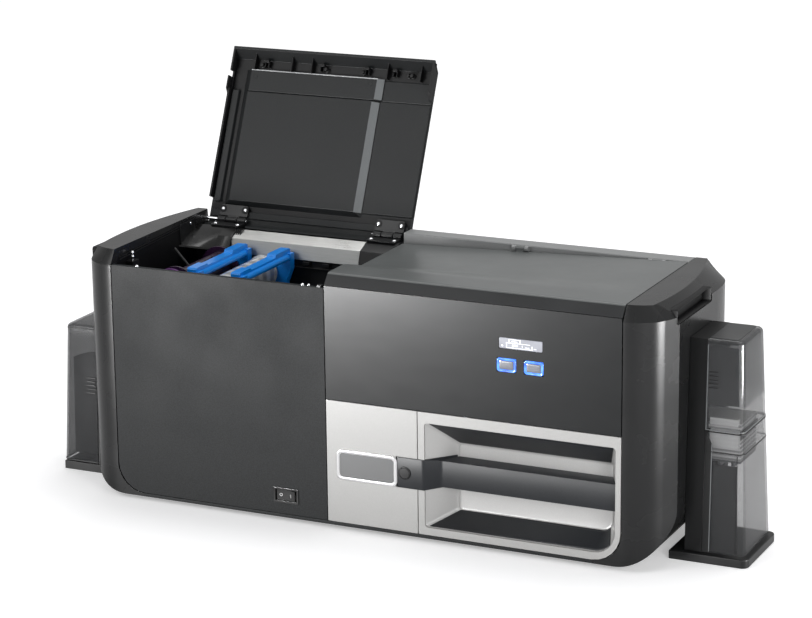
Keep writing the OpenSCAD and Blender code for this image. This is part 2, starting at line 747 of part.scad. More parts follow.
module switch_bezel() place() color([0.04, 0.04, 0.04]) difference() {
    upright(-1.2, 12) polygon(frame_outline([-switch_x - switch_w, switch_z],
        [-switch_x, switch_z + switch_h], [for (k = [0:3]) 1.5]));
    block([-switch_x - switch_w + switch_rim, -2, switch_z + switch_rim],
        [-switch_x - switch_rim, 9, switch_z + switch_h - switch_rim]);
    difference() {
        block([-switch_x - switch_w - 1, 0, switch_z - 1], [-switch_x + 1, 12, switch_z + switch_h + 1]);
        block([-switch_x - switch_w + switch_rim - 0.4, -1, switch_z + switch_rim - 0.4],
            [-switch_x - switch_rim + 0.4, 12, switch_z + switch_h - switch_rim + 0.4]);
    }
}

pivot_r = 1.2;
barrel_r = 3;

// The rocker's round back and the bosses on its ends turn on its pivot line
module power_rocker() place() color([0.05, 0.05, 0.05]) translate([rocker_x, rocker_y, 0]) {
    rotate([0, 0, -rocker_swing / 2])
        translate([0, 0, switch_z + switch_rim + 0.4]) linear_extrude(switch_h - 2 * switch_rim - 0.8)
        polygon(concat([[-rocker_half, -2.9], [0, -1.3], [rocker_half, -2.9], [rocker_half - 1.2, 0.8]],
            arc([0, 0], barrel_r, 15, 165, 20), [[-rocker_half + 1.2, 0.8]]));
    rod_z(0, 0, switch_z + switch_rim + 0.1, switch_z + switch_h - switch_rim - 0.1, pivot_r);
}

// ---- Deck, divider and rail inside the body ----

module mechanism_deck() place() color([0.14, 0.14, 0.15]) difference() {
    union() {
        block([left_x + 3.5, shell_t + 9, deck_z], [right_x - 1, tray_back, deck_top]);
        for (x = rib_xs) block([x, tub_back + 10, tray_wall_z + fit_gap], [x + 3, body_d - 40, deck_z]);
    }
    block([badge_panel_w, 0, deck_z - 1], [right_x, tub_back, deck_top + 1]);
}

// Wall between the laminator's bay and the printer
divider_x = -3.4;

module centre_divider() place() color([0.1, 0.1, 0.11]) difference() {
    along_x(divider_x, divider_x + 2.4) polygon([
        [flange_d + 4.5, deck_top + fit_gap], [flange_d + 4.5, cover_h - 3], [dip_start, cover_h],
        [hinge_y - 12, cover_h], [hinge_y - 3, hinge_z - 22],
        [body_d - shell_t - fit_gap, hinge_z - 22], [body_d - shell_t - fit_gap, deck_top + fit_gap]]);
    block([divider_x - 1, hopper_mid - 32, path_z - 8], [divider_x + 4, hopper_mid + 32, path_z + 8]);
}

rail_y1 = hinge_y - 18.5;
rail_y0 = rail_y1 - rail_d;
rail_ym = rail_y0 - rail_lean;
rail_z1 = hinge_z - 5;
rail_zm = rail_z1 - rail_fall;
rail_z0 = rail_zm - rail_face;
lid_x0 = left_x + 3.2;
lid_x1 = -half_seam;
hinge_xs = [lid_x0 + hinge_left, lid_x1 - hinge_right];
bracket_y = rail_y1 + fit_gap;
rail_x1 = hinge_xs[1] - hinge_w / 2;

module cross_rail() place() color([0.78, 0.79, 0.8]) difference() {
    along_x(left_x + fit_gap, rail_x1) polygon([
        [rail_y1, rail_z1], [rail_y0, rail_zm], [rail_ym, rail_z0], [rail_ym + 2.5 * rail_t, rail_z0],
        [rail_ym + 2.5 * rail_t, rail_z0 + rail_t], [rail_ym + rail_t + 0.3, rail_z0 + rail_t],
        [rail_y0 + 1.4, rail_zm - rail_t + 0.5], [rail_y1, rail_z1 - rail_t]]);
    for (k = [1:3]) rod_z(left_x + (rail_x1 - left_x) * k / 4, rail_y0 + rail_d / 2, rail_z0, rail_z1 + 2, 1.7);
}

// Brackets on the rear panel that carry the lid's hinges
lid_top = body_h + lid_rise;
roll_r = lid_top - hinge_z;
leaf_z = hinge_z - knuckle_r;
bracket_top = leaf_z;
bracket_low = hinge_z - 16;

module hinge_brackets() place() color([0.07, 0.07, 0.07]) {
    along_x(hinge_xs[0] - hinge_w / 2 + 1, hinge_xs[0] + hinge_w / 2 - 1) polygon([
        [bracket_y, bracket_top], [hinge_y - 3.5, bracket_top], [hinge_y - 3.5, bracket_low],
        [body_d - shell_t, bracket_low], [body_d - shell_t, bracket_low - 10], [bracket_y, bracket_low - 10]]);
    along_x(rail_x1, hinge_xs[1] + hinge_w / 2) polygon([
        [rail_ym, rail_z0], [rail_y0, rail_zm], [rail_y1, bracket_top], [hinge_y - 3.5, bracket_top],
        [hinge_y - 3.5, bracket_low], [body_d - shell_t, bracket_low],
        [body_d - shell_t, bracket_low - 10], [rail_ym + 8, rail_z0]]);
    // the end beside the divider stays clear of the lid's rolled edge
    along_x(hinge_xs[1] + hinge_w / 2 - 0.01, divider_x) polygon([
        [rail_ym, rail_z0], [rail_y0, rail_zm], [rail_y1, bracket_top],
        [hinge_y - roll_r - 1, bracket_top], [hinge_y - roll_r - 1, bracket_low - 10],
        [rail_ym + 8, rail_z0]]);
}

// Hinges: two ears on the bracket's leaf, one knuckle between them on the lid's leaf
lid_knuckle_w = 15;
ear_side = (hinge_w - lid_knuckle_w) / 2 - ear_gap;
lower_screw_y = hinge_y - lower_screw_d;
upper_screw_y = hinge_y - upper_screw_d;

module fixed_hinge_leaves() place() color([0.1, 0.1, 0.1]) difference() {
    for (x = hinge_xs) {
        block([x - hinge_w / 2, hinge_y - leaf_reach, leaf_z],
            [x + hinge_w / 2, hinge_y - 5.5, leaf_z + leaf_t]);
        for (e = [x - hinge_w / 2, x + hinge_w / 2 - ear_side]) {
            rod_x(e, e + ear_side, hinge_y, hinge_z, knuckle_r);
            block([e, hinge_y - 6, leaf_z], [e + ear_side, hinge_y, leaf_z + leaf_t]);
        }
    }
    for (x = hinge_xs) rod_x(x - hinge_w, x + hinge_w, hinge_y, hinge_z, pin_r);
}

module hinge_pins() place() color([0.75, 0.75, 0.77]) {
    rod_x(left_x + fit_gap, hinge_xs[0] + hinge_w / 2 + 1, hinge_y, hinge_z, pin_r);
    rod_x(hinge_xs[1] - hinge_w / 2 - 1, hinge_xs[1] + hinge_w / 2 - 1, hinge_y, hinge_z, pin_r);
}

// A domed screw head standing on z
module dome(x, y, z, r) translate([x, y, z]) intersection() {
    translate([0, 0, -r * 0.75]) sphere(r = r * 1.25);
    cylinder(h = r, r = r);
}

module frame_screws() place() color([0.8, 0.8, 0.82]) {
    for (x = hinge_xs, s = [-1, 1])
        dome(x + s * screw_pitch / 2, lower_screw_y, leaf_z + leaf_t, screw_r);
    for (x = [left_x + 14, -16]) dome(x, flange_d / 2, cover_h, screw_r * 0.8);
    for (z = [0, 9]) translate([left_x + 0.1, flange_d + 15, body_h - 30 + z]) rotate([0, 90, 0]) {
        cylinder(h = screw_r, r = screw_r * 0.6);
        translate([0, 0, screw_r * 1.5]) sphere(r = screw_r);
    }
}

// ---- Laminator lid, drawn closed ----

lid_t = 3;
lid_under = lid_top - lid_t;
// the lid's back edge rolls round the hinge line, down to this angle
roll_end = -20;
lip_z = cover_h + 1.2;
lip_inner = lid_front + lip_d;
hinge_bar_y = hinge_y - 4.5;

module lid_shell() place() color([0.08, 0.08, 0.09]) opened() difference() {
    union() {
        along_x(lid_x0, lid_x1) polygon(concat(
            [[lid_front, lip_z], [lid_front, lip_z + 2], [lid_front + lid_slope_d, lid_top]],
            arc([hinge_y, hinge_z], roll_r, 90, roll_end, 10),
            arc([hinge_y, hinge_z], lid_under - hinge_z, roll_end, 90, 10),
            [[lid_front + lid_slope_d + 1, lid_under], [lid_front + 3, lip_z]]));
        // side skirts: the whole left side, only the lip at the right
        block([lid_x0, lid_front + lid_slope_d, lip_z + 2], [lid_x0 + 2.4, hinge_y - 26, lid_under + weld]);
        block([lid_x0, lid_front + 3, lip_z], [lid_x0 + 2.4, lip_inner, lid_under - 4]);
        block([lid_x1 - 2.4, lid_front + 3, lip_z], [lid_x1, lip_inner, lid_under - 4]);
        block([lid_x1 - 2.4, lid_front + lid_slope_d, lid_under - 5], [lid_x1, lip_inner, lid_under + weld]);
        // ribs across the lip's channel
        for (k = [1:rib_count]) {
            x = lid_x0 + (lid_x1 - lid_x0) * k / (rib_count + 1);
            along_x(x - 1, x + 1) polygon([
                [lid_front + lid_slope_d / 2, lid_under - rib_h],
                [lid_front + lid_slope_d + 1, lid_under + weld],
                [lip_inner - 2, lid_under + weld], [lip_inner - 2, lid_under - rib_h]]);
        }
        // hinge bar along the back
        block([lid_x0 + 4, hinge_y - 20, hinge_z + knuckle_r], [lid_x1 - 4, hinge_bar_y, lid_under + weld]);
    }
    for (x = hinge_xs)
        block([x - hinge_w / 2 - 1, hinge_y + 1, hinge_z - 12], [x + hinge_w / 2 + 1, body_d, hinge_z + 3]);
}

module lid_inner_panel() place() color([0.1, 0.1, 0.11]) opened() difference() {
    along_x(lid_x0 + 8, lid_x1 - bare_w) polygon([
        [lip_inner - 1, lid_under - 2], [lip_inner + 1, lid_under - inner_t],
        [hinge_y - 28, lid_under - inner_t], [hinge_y - 26, lid_under - 2],
        [hinge_y - 26, lid_under], [lip_inner - 1, lid_under]]);
    // the right side slopes up to the lid's bare strip
    translate([lid_x1 - bare_w, 0, lid_under]) rotate([0, 35, 0])
        block([0, 0, -30], [20, hinge_y, 5]);
}

module lid_hinge_leaves() place() color([0.1, 0.1, 0.1]) opened() difference() {
    for (x = hinge_xs) {
        block([x - hinge_w / 2, hinge_y - leaf_reach + 2, hinge_z + knuckle_r - leaf_t],
            [x + hinge_w / 2, hinge_y - 5.2, hinge_z + knuckle_r]);
        rod_x(x - lid_knuckle_w / 2, x + lid_knuckle_w / 2, hinge_y, hinge_z, knuckle_r);
        block([x - lid_knuckle_w / 2, hinge_y - 6, hinge_z + knuckle_r - leaf_t],
            [x + lid_knuckle_w / 2, hinge_y, hinge_z + knuckle_r]);
    }
    for (x = hinge_xs) rod_x(x - hinge_w, x + hinge_w, hinge_y, hinge_z, pin_r + run_clear);
}

module lid_screws() place() color([0.8, 0.8, 0.82]) opened()
    for (x = hinge_xs, s = [-1, 1]) translate([x + s * screw_pitch / 2, upper_screw_y,
        hinge_z + knuckle_r - leaf_t]) rotate([180, 0, 0]) dome(0, 0, 0, screw_r * 0.75);

// ---- Printer cover: a grid of heights with a dip at the back left ----

cover_x0 = half_seam;
cover_x1 = print_w;
cover_back = cover_axis_y - 0.5;
cover_nx = 8;
cover_ys = concat([0, slope_d], [for (k = [0:8]) dip_start + (dip_full - dip_start) * k / 8],
    [(dip_full + cover_back) / 2, cover_back]);
cover_ny = len(cover_ys) - 1;

function cover_z(x, y) = y <= 0 ? slope_z
    : body_h - dip * ease(y, dip_start, dip_full) * max(0, 1 - x / (cover_x1 - 10));

cover_tops = [for (j = [0:cover_ny], i = [0:cover_nx])
    let (x = cover_x0 + (cover_x1 - cover_x0) * i / cover_nx) [x, cover_ys[j], cover_z(x, cover_ys[j])]];
cover_unders = [for (j = [0:cover_ny], i = [0:cover_nx])
    let (x = cover_x0 + (cover_x1 - cover_x0) * i / cover_nx,
        y = j == 0 ? shell_t + 0.5 : j == 1 ? slope_d + 1.5 : cover_ys[j])
        [x, y, j == 0 ? slope_z : cover_z(x, y) - shell_t]];

function quad(a, b, c, d) = [[a, b, c], [a, c, d]];

module height_shell(tops, unders, nx, ny) {
    w = nx + 1;
    n = len(tops);
    polyhedron(points = concat(tops, unders), faces = concat(
        [for (j = [0:ny - 1], i = [0:nx - 1]) let (a = j * w + i)
            for (f = quad(a, a + w, a + w + 1, a + 1)) f],
        [for (j = [0:ny - 1], i = [0:nx - 1]) let (a = n + j * w + i)
            for (f = quad(a, a + 1, a + w + 1, a + w)) f],
        [for (i = [0:nx - 1]) for (f = quad(i, i + 1, n + i + 1, n + i)) f],
        [for (i = [0:nx - 1]) let (a = ny * w + i) for (f = quad(a + 1, a, n + a, n + a + 1)) f],
        [for (j = [0:ny - 1]) let (a = j * w) for (f = quad(a + w, a, n + a, n + a + w)) f],
        [for (j = [0:ny - 1]) let (a = j * w + nx) for (f = quad(a, a + w, n + a + w, n + a)) f]));
}

module printer_cover() place() color([0.3, 0.3, 0.31]) difference() {
    union() {
        difference() {
            union() {
                height_shell(cover_tops, cover_unders, cover_nx, cover_ny);
                for (x = [cover_x0 + print_w * 0.17, cover_x0 + print_w * 0.58])
                    block([x, dip_full, body_h - dip - 7],
                        [x + 2.5, cover_back - 22, cover_z(x + 3, dip_full) - 1]);
            }
            for (x = cover_hinges) block(
                [x - knuckle_w / 2 - ear_w - 2 * ear_gap, cover_axis_y - cover_knuckle_r - 0.8, body_h - 30],
                [x + knuckle_w / 2 + ear_w + 2 * ear_gap, cover_axis_y + 2, body_h + 1]);
        }
        for (x = cover_hinges) {
            rod_x(x - knuckle_w / 2, x + knuckle_w / 2, cover_axis_y, cover_axis_z, cover_knuckle_r);
            block([x - knuckle_w / 2, cover_axis_y - cover_knuckle_r - 4, cover_z(x, cover_back) - shell_t],
                [x + knuckle_w / 2, cover_axis_y, min(cover_axis_z, cover_z(x, cover_back))]);
            block([x - knuckle_w / 2, cover_axis_y - 2.4, cover_z(x, cover_back) - shell_t],
                [x + knuckle_w / 2, cover_axis_y, cover_axis_z]);
        }
    }
    for (x = cover_hinges)
        rod_x(x - knuckle_w, x + knuckle_w, cover_axis_y, cover_axis_z, cover_pin_r + run_clear);
}

// ---- Frames and rollers ----

// A frame plate standing across the machine, with open slots for spools
module frame_plate(x0, x1, y, slots, bores) difference() {
    union() {
        upright(y, plate_t) polygon([
            [x0, deck_top], [x0, frame_top - 24], [x0 + 14, frame_top], [x1 - 14, frame_top],
            [x1, frame_top - 24], [x1, deck_top]]);
        block([x0, y - 5, deck_top], [x1, y + plate_t, deck_top + 2.5]);
    }
    for (x = slots) {
        rod_y(x, y - 1, y + plate_t + 1, frame_top - 12, journal_r + run_clear);
        block([x - journal_r - run_clear, y - 1, frame_top - 12],
            [x + journal_r + run_clear, y + plate_t + 1, frame_top + 1]);
    }
    for (b = bores) rod_y(b[0], y - 1, y + plate_t + 1, b[1], journal_r + run_clear);
}

lower_roller_z = path_z - roller_r - 0.2;
upper_roller_z = path_z + roller_r + 0.2;
takeup_z = frame_top - 12;
takeup_xs = [for (x = handle_xs) -x + 16];

// The laminator's frame plates, and the shelves that the film cartridges stand on
shelf_low = frame_top - 36;
cart_y0 = frame_front + plate_t + 7;
cart_y1 = frame_back - 7;

module laminator_frame() place() color([0.12, 0.12, 0.12]) {
    for (y = [frame_front, frame_back]) frame_plate(-handle_xs[0] - 52, -28, y, takeup_xs,
        [[-roller_x, lower_roller_z], [-roller_x, upper_roller_z]]);
    block([-handle_xs[0] - 40, frame_front + plate_t, shelf_low - 3],
        [-handle_xs[1] + 34, cart_y0 + 9, shelf_low]);
    block([-handle_xs[0] - 40, cart_y1 - 9, shelf_low - 3], [-handle_xs[1] + 34, frame_back, shelf_low]);
}

// A roller between the frame plates, with its gear behind the rear plate
gear_module = 2 * (roller_r + 0.2) / gear_teeth;
gear_w = 5;

module spur(x, y, z, phase) translate([x, y, z]) rotate([-90, phase, 0]) linear_extrude(gear_w) {
    circle(r = (gear_teeth / 2 - 1.3) * gear_module);
    for (k = [0:gear_teeth - 1]) rotate(k * 360 / gear_teeth) polygon([
        [(gear_teeth / 2 - 1.5) * gear_module, -0.62 * gear_module],
        [(gear_teeth / 2 + 0.85) * gear_module, -0.3 * gear_module],
        [(gear_teeth / 2 + 0.85) * gear_module, 0.3 * gear_module],
        [(gear_teeth / 2 - 1.5) * gear_module, 0.62 * gear_module]]);
}

module lam_roller(z, phase) {
    rod_y(-roller_x, frame_front + plate_t + 8, frame_back - 8, z, roller_r);
    rod_y(-roller_x, frame_front - 2, frame_back + plate_t + 1 + gear_w, z, journal_r);
    spur(-roller_x, frame_back + plate_t + 0.8, z, phase);
}

module upper_lam_roller() place() color([0.7, 0.3, 0.15]) lam_roller(upper_roller_z, 0);
module lower_lam_roller() place() color([0.2, 0.2, 0.2]) lam_roller(lower_roller_z, 180 / gear_teeth);

// ---- Film cartridges: a handle bar with a leg at each end, and the two spools it carries ----

handle_z = body_h - handle_drop;
film_z = handle_z - film_drop;
leg_w = 9;
guide_r = 4;
guide_x = 6;

module film_cartridge(k) {
    x = -handle_xs[k];
    difference() {
        union() {
            along_x(x - handle_w / 2, x + handle_w / 2) polygon([
                [cart_y0, handle_z - handle_t - 4], [cart_y0, handle_z - 2], [cart_y0 + 2, handle_z],
                [cart_y0 + 26, handle_z], [cart_y0 + 29, handle_z - 2.5],
                [cart_y1 - 38, handle_z - 2.5], [cart_y1 - 35, handle_z + 1],
                [cart_y1 - 2, handle_z + 1], [cart_y1, handle_z - 1], [cart_y1, handle_z - handle_t - 4],
                [cart_y1 - leg_w, handle_z - handle_t - 4], [cart_y1 - leg_w - 6, handle_z - handle_t],
                [cart_y0 + leg_w + 6, handle_z - handle_t], [cart_y0 + leg_w, handle_z - handle_t - 4]]);
            for (y = [cart_y0, cart_y1 - leg_w]) {
                upright(y, leg_w) polygon([
                    [x - handle_w / 2, handle_z - handle_t], [x - handle_w / 2, film_z + 12],
                    [x - film_side - 8, film_z + 8], [x - film_side - 8, film_z - 10],
                    [x - 14, shelf_low + 8], [x - 14, shelf_low + fit_gap],
                    [x + 4, shelf_low + fit_gap], [x + 4, film_z - 12],
                    [x + guide_x + guide_r + 1, film_z + 6],
                    [x + guide_x + guide_r + 1, handle_z - 4], [x + handle_w / 2, handle_z - 4]]);
            }
        }
        rod_y(x - film_side, cart_y0 - 1, cart_y1 + 1, film_z, journal_r + run_clear);
    }
    rod_y(x + guide_x, cart_y0 - 4, cart_y1 + 1, handle_z - 9, guide_r);
}

module film_cartridge_1() place() color([0, 0.42, 0.82]) film_cartridge(0);
module film_cartridge_2() place() color([0, 0.42, 0.82]) film_cartridge(1);

// A spool: journal, roll and two flanges
module spool(x, z, y0, y1, roll_r, flange_r, j0, j1) {
    rod_y(x, j0, j1, z, journal_r);
    rod_y(x, y0, y1, z, roll_r);
    for (y = [y0, y1 - 2]) rod_y(x, y, y + 2, z, flange_r);
}

module film_spool(k) spool(-handle_xs[k] - film_side, film_z, cart_y0 + leg_w + 1, cart_y1 - leg_w - 1,
    film_r, flange_rs[k], cart_y0 - 2, cart_y1 + 2);

module takeup_spool(k) spool(takeup_xs[k], takeup_z, cart_y0 + leg_w + 1, cart_y1 - leg_w - 1,
    takeup_r, takeup_r + 1.5, frame_front - 2, frame_back + plate_t + 2);

module film_spool_1() place() color([0.5, 0.2, 0.5]) film_spool(0);
module film_spool_2() place() color([0.9, 0.9, 0.9]) film_spool(1);
module takeup_spool_1() place() color([0.85, 0.85, 0.85]) takeup_spool(0);
module takeup_spool_2() place() color([0.85, 0.85, 0.85]) takeup_spool(1);

// ---- Printer mechanism ----

head_x = (ribbon_in_x + ribbon_out_x) / 2;
platen_z = path_z - platen_r;
ribbon_z = frame_top - 12;

module printer_frame() place() color([0.5, 0.52, 0.54])
    for (y = [frame_front, frame_back])
        frame_plate(ribbon_in_x - ribbon_side, ribbon_out_x + ribbon_side, y,
            [ribbon_in_x, ribbon_out_x], [[head_x, platen_z]]);

module platen_roller() place() color([0.15, 0.15, 0.15]) {
    rod_y(head_x, frame_front + plate_t + 6, frame_back - 6, platen_z, platen_r);
    rod_y(head_x, frame_front - 3, frame_back + plate_t + 3, platen_z, journal_r);
}

module print_head() place() color([0.6, 0.62, 0.64]) {
    upright(frame_front + plate_t, frame_back - frame_front - plate_t) polygon([
        [head_x - 3, path_z + fit_gap + 0.6], [head_x + 3, path_z + fit_gap + 0.6],
        [head_x + head_w / 2, path_z + head_wedge], [head_x + head_w / 2, path_z + head_h],
        [head_x - head_w / 2, path_z + head_h], [head_x - head_w / 2, path_z + head_wedge]]);
    for (k = [0:5]) let (y = (frame_front + plate_t + frame_back) / 2 + (k - 2.5) * fin_pitch)
        block([head_x - head_w / 2 + 1, y - fin_pitch * 0.15, path_z + head_h],
            [head_x + head_w / 2 - 1, y + fin_pitch * 0.15, path_z + head_h + fin_h]);
}

module ribbon_spool(x, r) spool(x, ribbon_z, frame_front + plate_t + 6, frame_back - 6,
    r, r + 2.5, frame_front - 2, frame_back + plate_t + 2);

module ribbon_supply_spool() place() color([0.75, 0.7, 0.2]) ribbon_spool(ribbon_in_x, ribbon_in_r);
module ribbon_takeup_spool() place() color([0.2, 0.5, 0.6]) ribbon_spool(ribbon_out_x, ribbon_out_r);

// ---- Hoppers, drawn outwards from the end cap's side in u ----

function flare(z) = hopper_flare * (1 - max(0, z) / hopper_top);
function hop_u(z) = hopper_out - hopper_flare + flare(z);
function hop_y0(z) = hopper_y - flare(z);
function hop_y1(z) = hopper_y + hopper_d + flare(z);

// A level slice of the hopper's outside, drawn in by i
module hop_slice(u0, z, i, t, r) translate([0, 0, z - t]) linear_extrude(t) polygon(concat(
    [[u0, hop_y1(z) - i]], [[u0, hop_y0(z) + i]],
    arc([hop_u(z) - i - r, hop_y0(z) + i + r], r, -90, 0, 5),
    arc([hop_u(z) - i - r, hop_y1(z) - i - r], r, 0, 90, 5)));

corner_out = 9;

// A smoked door: front, outer side and back, with a roof where it has one
module hopper_door(z0, z1, roof, hinges, edge) difference() {
    union() {
        difference() {
            hull() {
                hop_slice(door_u, z0 + 0.5, 0, 0.5, corner_out);
                hop_slice(door_u, z1, 0, 0.5, corner_out);
            }
            hull() {
                hop_slice(door_u - 1, z0 + 0.25, door_t, 0.5, corner_out - door_t);
                hop_slice(door_u - 1, z1 + (roof ? -door_t : 0.5), door_t, 0.5, corner_out - door_t);
            }
        }
        for (z = hinges) {
            rod_z(pin_u, edge, z, z + ear_t, ear_r);
            block([door_u, hop_y1(z) - door_t, z], [pin_u + ear_r, edge, z + ear_t]);
        }
    }
    for (z = hinges) rod_z(pin_u, edge, z - 1, z + ear_t + 1, door_pin_r + run_clear);
}

input_edge = hop_y1(0) + ear_r + 0.8;
upper_ears = [door_split + 14, hopper_top - 24];
lower_ears = [14, door_split - 24];
output_ears = [14, output_top - 24];

module upper_hopper_door() place() color([0.25, 0.25, 0.27, 0.6]) right_side(cap_w)
    hopper_door(door_split + door_gap / 2, hopper_top, true, upper_ears, input_edge);
module lower_hopper_door() place() color([0.25, 0.25, 0.27, 0.6]) right_side(cap_w)
    hopper_door(door_gap + 1, door_split - door_gap / 2, false, lower_ears, input_edge);
module output_hopper_door() place() color([0.25, 0.25, 0.27, 0.6]) left_side(cap_w)
    hopper_door(door_gap + 1, output_top, true, output_ears, input_edge);

// The dark frame that docks a hopper to its end cap, with the window for the cards
module dock_level(z, t) translate([0, 0, z]) linear_extrude(t) polygon([
    [fit_gap, hop_y0(z) + 1], [dock_w, hop_y0(z) + 1], [dock_w, hop_y1(z) - 1], [fit_gap, hop_y1(z) - 1]]);

module dock(top, ears) difference() {
    union() {
        difference() {
            hull() {
                dock_level(0.4, 0.5);
                dock_level(top - 1, 0.5);
            }
            block([-1, hopper_mid - window_w / 2, window_z],
                [dock_w + 1, hopper_mid + window_w / 2, top - 14]);
        }
        for (z = ears) {
            rod_z(pin_u, input_edge, z - ear_t - 0.4, z - 0.4, ear_r);
            block([dock_w - 9, hop_y1(z) - 5, z - ear_t - 0.4],
                [dock_w, input_edge + ear_r, z - 0.4]);
            block([dock_w - 1, input_edge - ear_r, z - ear_t - 0.4],
                [pin_u, input_edge + ear_r, z - 0.4]);
        }
    }
    for (z = ears) rod_z(pin_u, input_edge, z - ear_t - 1, z, door_pin_r);
}

card_u1 = hop_u(hopper_top) - door_t - 1.5;
card_u0 = card_u1 - card_l;

module input_dock_frame() place() color([0.08, 0.08, 0.09]) right_side(cap_w) {
    dock(hopper_top, concat(upper_ears, lower_ears));
    // the shelf between the two compartments
    block([card_u0, hopper_mid - window_w / 2 + 0.01, shelf_z],
        [card_u1 + 1, hopper_mid + window_w / 2, shelf_z + 3]);
}

// A foot plate with a rounded outer end, standing on the table
module foot_plate(z0, z1) translate([0, 0, z0]) linear_extrude(z1 - z0) polygon(concat(
    [[-16, hop_y1(0) + foot_margin], [-16, hop_y0(0) - foot_margin]],
    arc([hopper_out + foot_margin - 8, hop_y0(0) - foot_margin + 8], 8, -90, 0, 6),
    arc([hopper_out + foot_margin - 8, hop_y1(0) + foot_margin - 8], 8, 0, 90, 6)));

module hopper_base() place() color([0.16, 0.16, 0.17]) right_side(cap_w) difference() {
    foot_plate(-foot_gap, 0);
    // keep clear of the rounded foot of the end cap
    translate([-cap_w, 0, 0]) upright(0, body_d) polygon(concat(
        [[0, under_z + foot_r], [-0.4, under_z - 0.4]],
        arc([cap_w - foot_r, under_z + foot_r], foot_r + 0.4, -90, 0, 10)));
}

module output_dock_frame() place() color([0.08, 0.08, 0.09]) left_side(cap_w) {
    dock(output_top, output_ears);
    difference() {
        foot_plate(-foot_gap, 0);
        translate([-cap_w, 0, 0]) upright(0, body_d) polygon(concat(
            [[0, under_z + foot_r], [-0.4, under_z - 0.4]],
            arc([cap_w - foot_r, under_z + foot_r], foot_r + 0.4, -90, 0, 10)));
    }
}

module door_pins() place() color([0.7, 0.7, 0.72]) {
    right_side(cap_w) for (z = concat(upper_ears, lower_ears))
        rod_z(pin_u, input_edge, z - ear_t - 0.4, z + ear_t, door_pin_r);
    left_side(cap_w) for (z = output_ears)
        rod_z(pin_u, input_edge, z - ear_t - 0.4, z + ear_t, door_pin_r);
}

// Cards lie across the window, their long side along the machine
module card_block(z0, z1) block([card_u0, hopper_mid - card_w / 2, z0], [card_u1, hopper_mid + card_w / 2, z1]);

module upper_card_stack() place() color([0.93, 0.93, 0.93]) right_side(cap_w)
    card_block(shelf_z + 3, shelf_z + 3 + upper_cards);
module lower_card_stack() place() color([0.93, 0.93, 0.93]) right_side(cap_w)
    card_block(tray_top, tray_top + lower_cards);

module card_lift_tray() place() color([0.3, 0.3, 0.31]) right_side(cap_w) {
    block([card_u0, hopper_mid - card_w / 2, tray_top - 2.5], [card_u1, hopper_mid + card_w / 2, tray_top]);
    for (k = [0:5]) block([card_u0 + k * 15, hopper_mid - card_w / 2, tray_top - tray_t],
        [card_u0 + k * 15 + 3, hopper_mid + card_w / 2, tray_top - 2.5]);
    for (s = [-1, 1]) block(
        [2, hopper_mid + s * (window_w / 2 - fit_gap) - (s > 0 ? 2.5 : 0), tray_top - tray_t],
        [dock_w - 2, hopper_mid + s * (window_w / 2 - fit_gap) + (s > 0 ? 0 : 2.5), tray_top]);
}

base_tray();
rubber_feet();
left_end_cap();
right_end_cap();
rear_panel();
rear_top_strip();
left_front_cover();
upper_front_panel();
badge_panel();
recess_panel();
recess_tub();
trim_band();
badge_plate();
lock_plug();
display_window();
button_light_rings();
left_button();
right_button();
switch_bezel();
power_rocker();
mechanism_deck();
centre_divider();
cross_rail();
hinge_brackets();
fixed_hinge_leaves();
hinge_pins();
frame_screws();
lid_shell();
lid_inner_panel();
lid_hinge_leaves();
lid_screws();
printer_cover();
cover_hinge_pins();
print_head();
laminator_frame();
upper_lam_roller();
lower_lam_roller();
film_cartridge_1();
film_cartridge_2();
film_spool_1();
film_spool_2();
takeup_spool_1();
takeup_spool_2();
printer_frame();
platen_roller();
ribbon_supply_spool();
ribbon_takeup_spool();
rear_sockets();
input_dock_frame();
hopper_base();
upper_card_stack();
lower_card_stack();
card_lift_tray();
upper_hopper_door();
lower_hopper_door();
door_pins();
output_dock_frame();
output_hopper_door();
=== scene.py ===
"""Dressing of a desktop card printer whose laminator lid stands open.

Sizes are in millimetres in the machine's own frame: X from the seam between laminator and printer,
Y from the front panels to the back, Z from the panels' lower edge. Datum turns them into the part's metres.
"""

import json
import logging
import math
from dataclasses import dataclass
from enum import Enum
from typing import Any, ClassVar, Optional, Sequence

import bmesh
import bpy
import numpy as np
from mathutils import Matrix, Vector


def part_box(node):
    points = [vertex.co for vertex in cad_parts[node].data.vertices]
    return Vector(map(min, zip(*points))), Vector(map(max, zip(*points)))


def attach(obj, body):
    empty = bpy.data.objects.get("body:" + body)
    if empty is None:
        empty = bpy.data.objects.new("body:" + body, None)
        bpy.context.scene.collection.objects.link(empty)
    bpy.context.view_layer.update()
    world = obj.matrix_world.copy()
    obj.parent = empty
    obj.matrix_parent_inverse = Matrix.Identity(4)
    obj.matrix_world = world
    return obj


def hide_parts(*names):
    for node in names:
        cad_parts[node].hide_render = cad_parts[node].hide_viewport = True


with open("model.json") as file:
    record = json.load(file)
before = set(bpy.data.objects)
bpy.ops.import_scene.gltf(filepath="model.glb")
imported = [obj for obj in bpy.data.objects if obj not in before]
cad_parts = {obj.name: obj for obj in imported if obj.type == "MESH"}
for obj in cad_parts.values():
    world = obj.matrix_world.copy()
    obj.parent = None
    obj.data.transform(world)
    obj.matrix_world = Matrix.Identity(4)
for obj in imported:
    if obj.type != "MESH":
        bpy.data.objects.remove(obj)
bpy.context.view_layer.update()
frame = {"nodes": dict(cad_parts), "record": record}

Array = np.ndarray
Floats = Sequence[float]
Outline = Array | Sequence[Floats]
Rows = Array | Sequence[Array]
Obj = bpy.types.Object
Socket = bpy.types.NodeSocket
Pair = tuple[float, float]
Triple = tuple[float, float, float]
Four = tuple[float, float, float, float]
Colour = Triple
LOG = logging.getLogger("card_printer")
MM = 0.001
AXIS_R = 0.01


# ---- frame and meshes

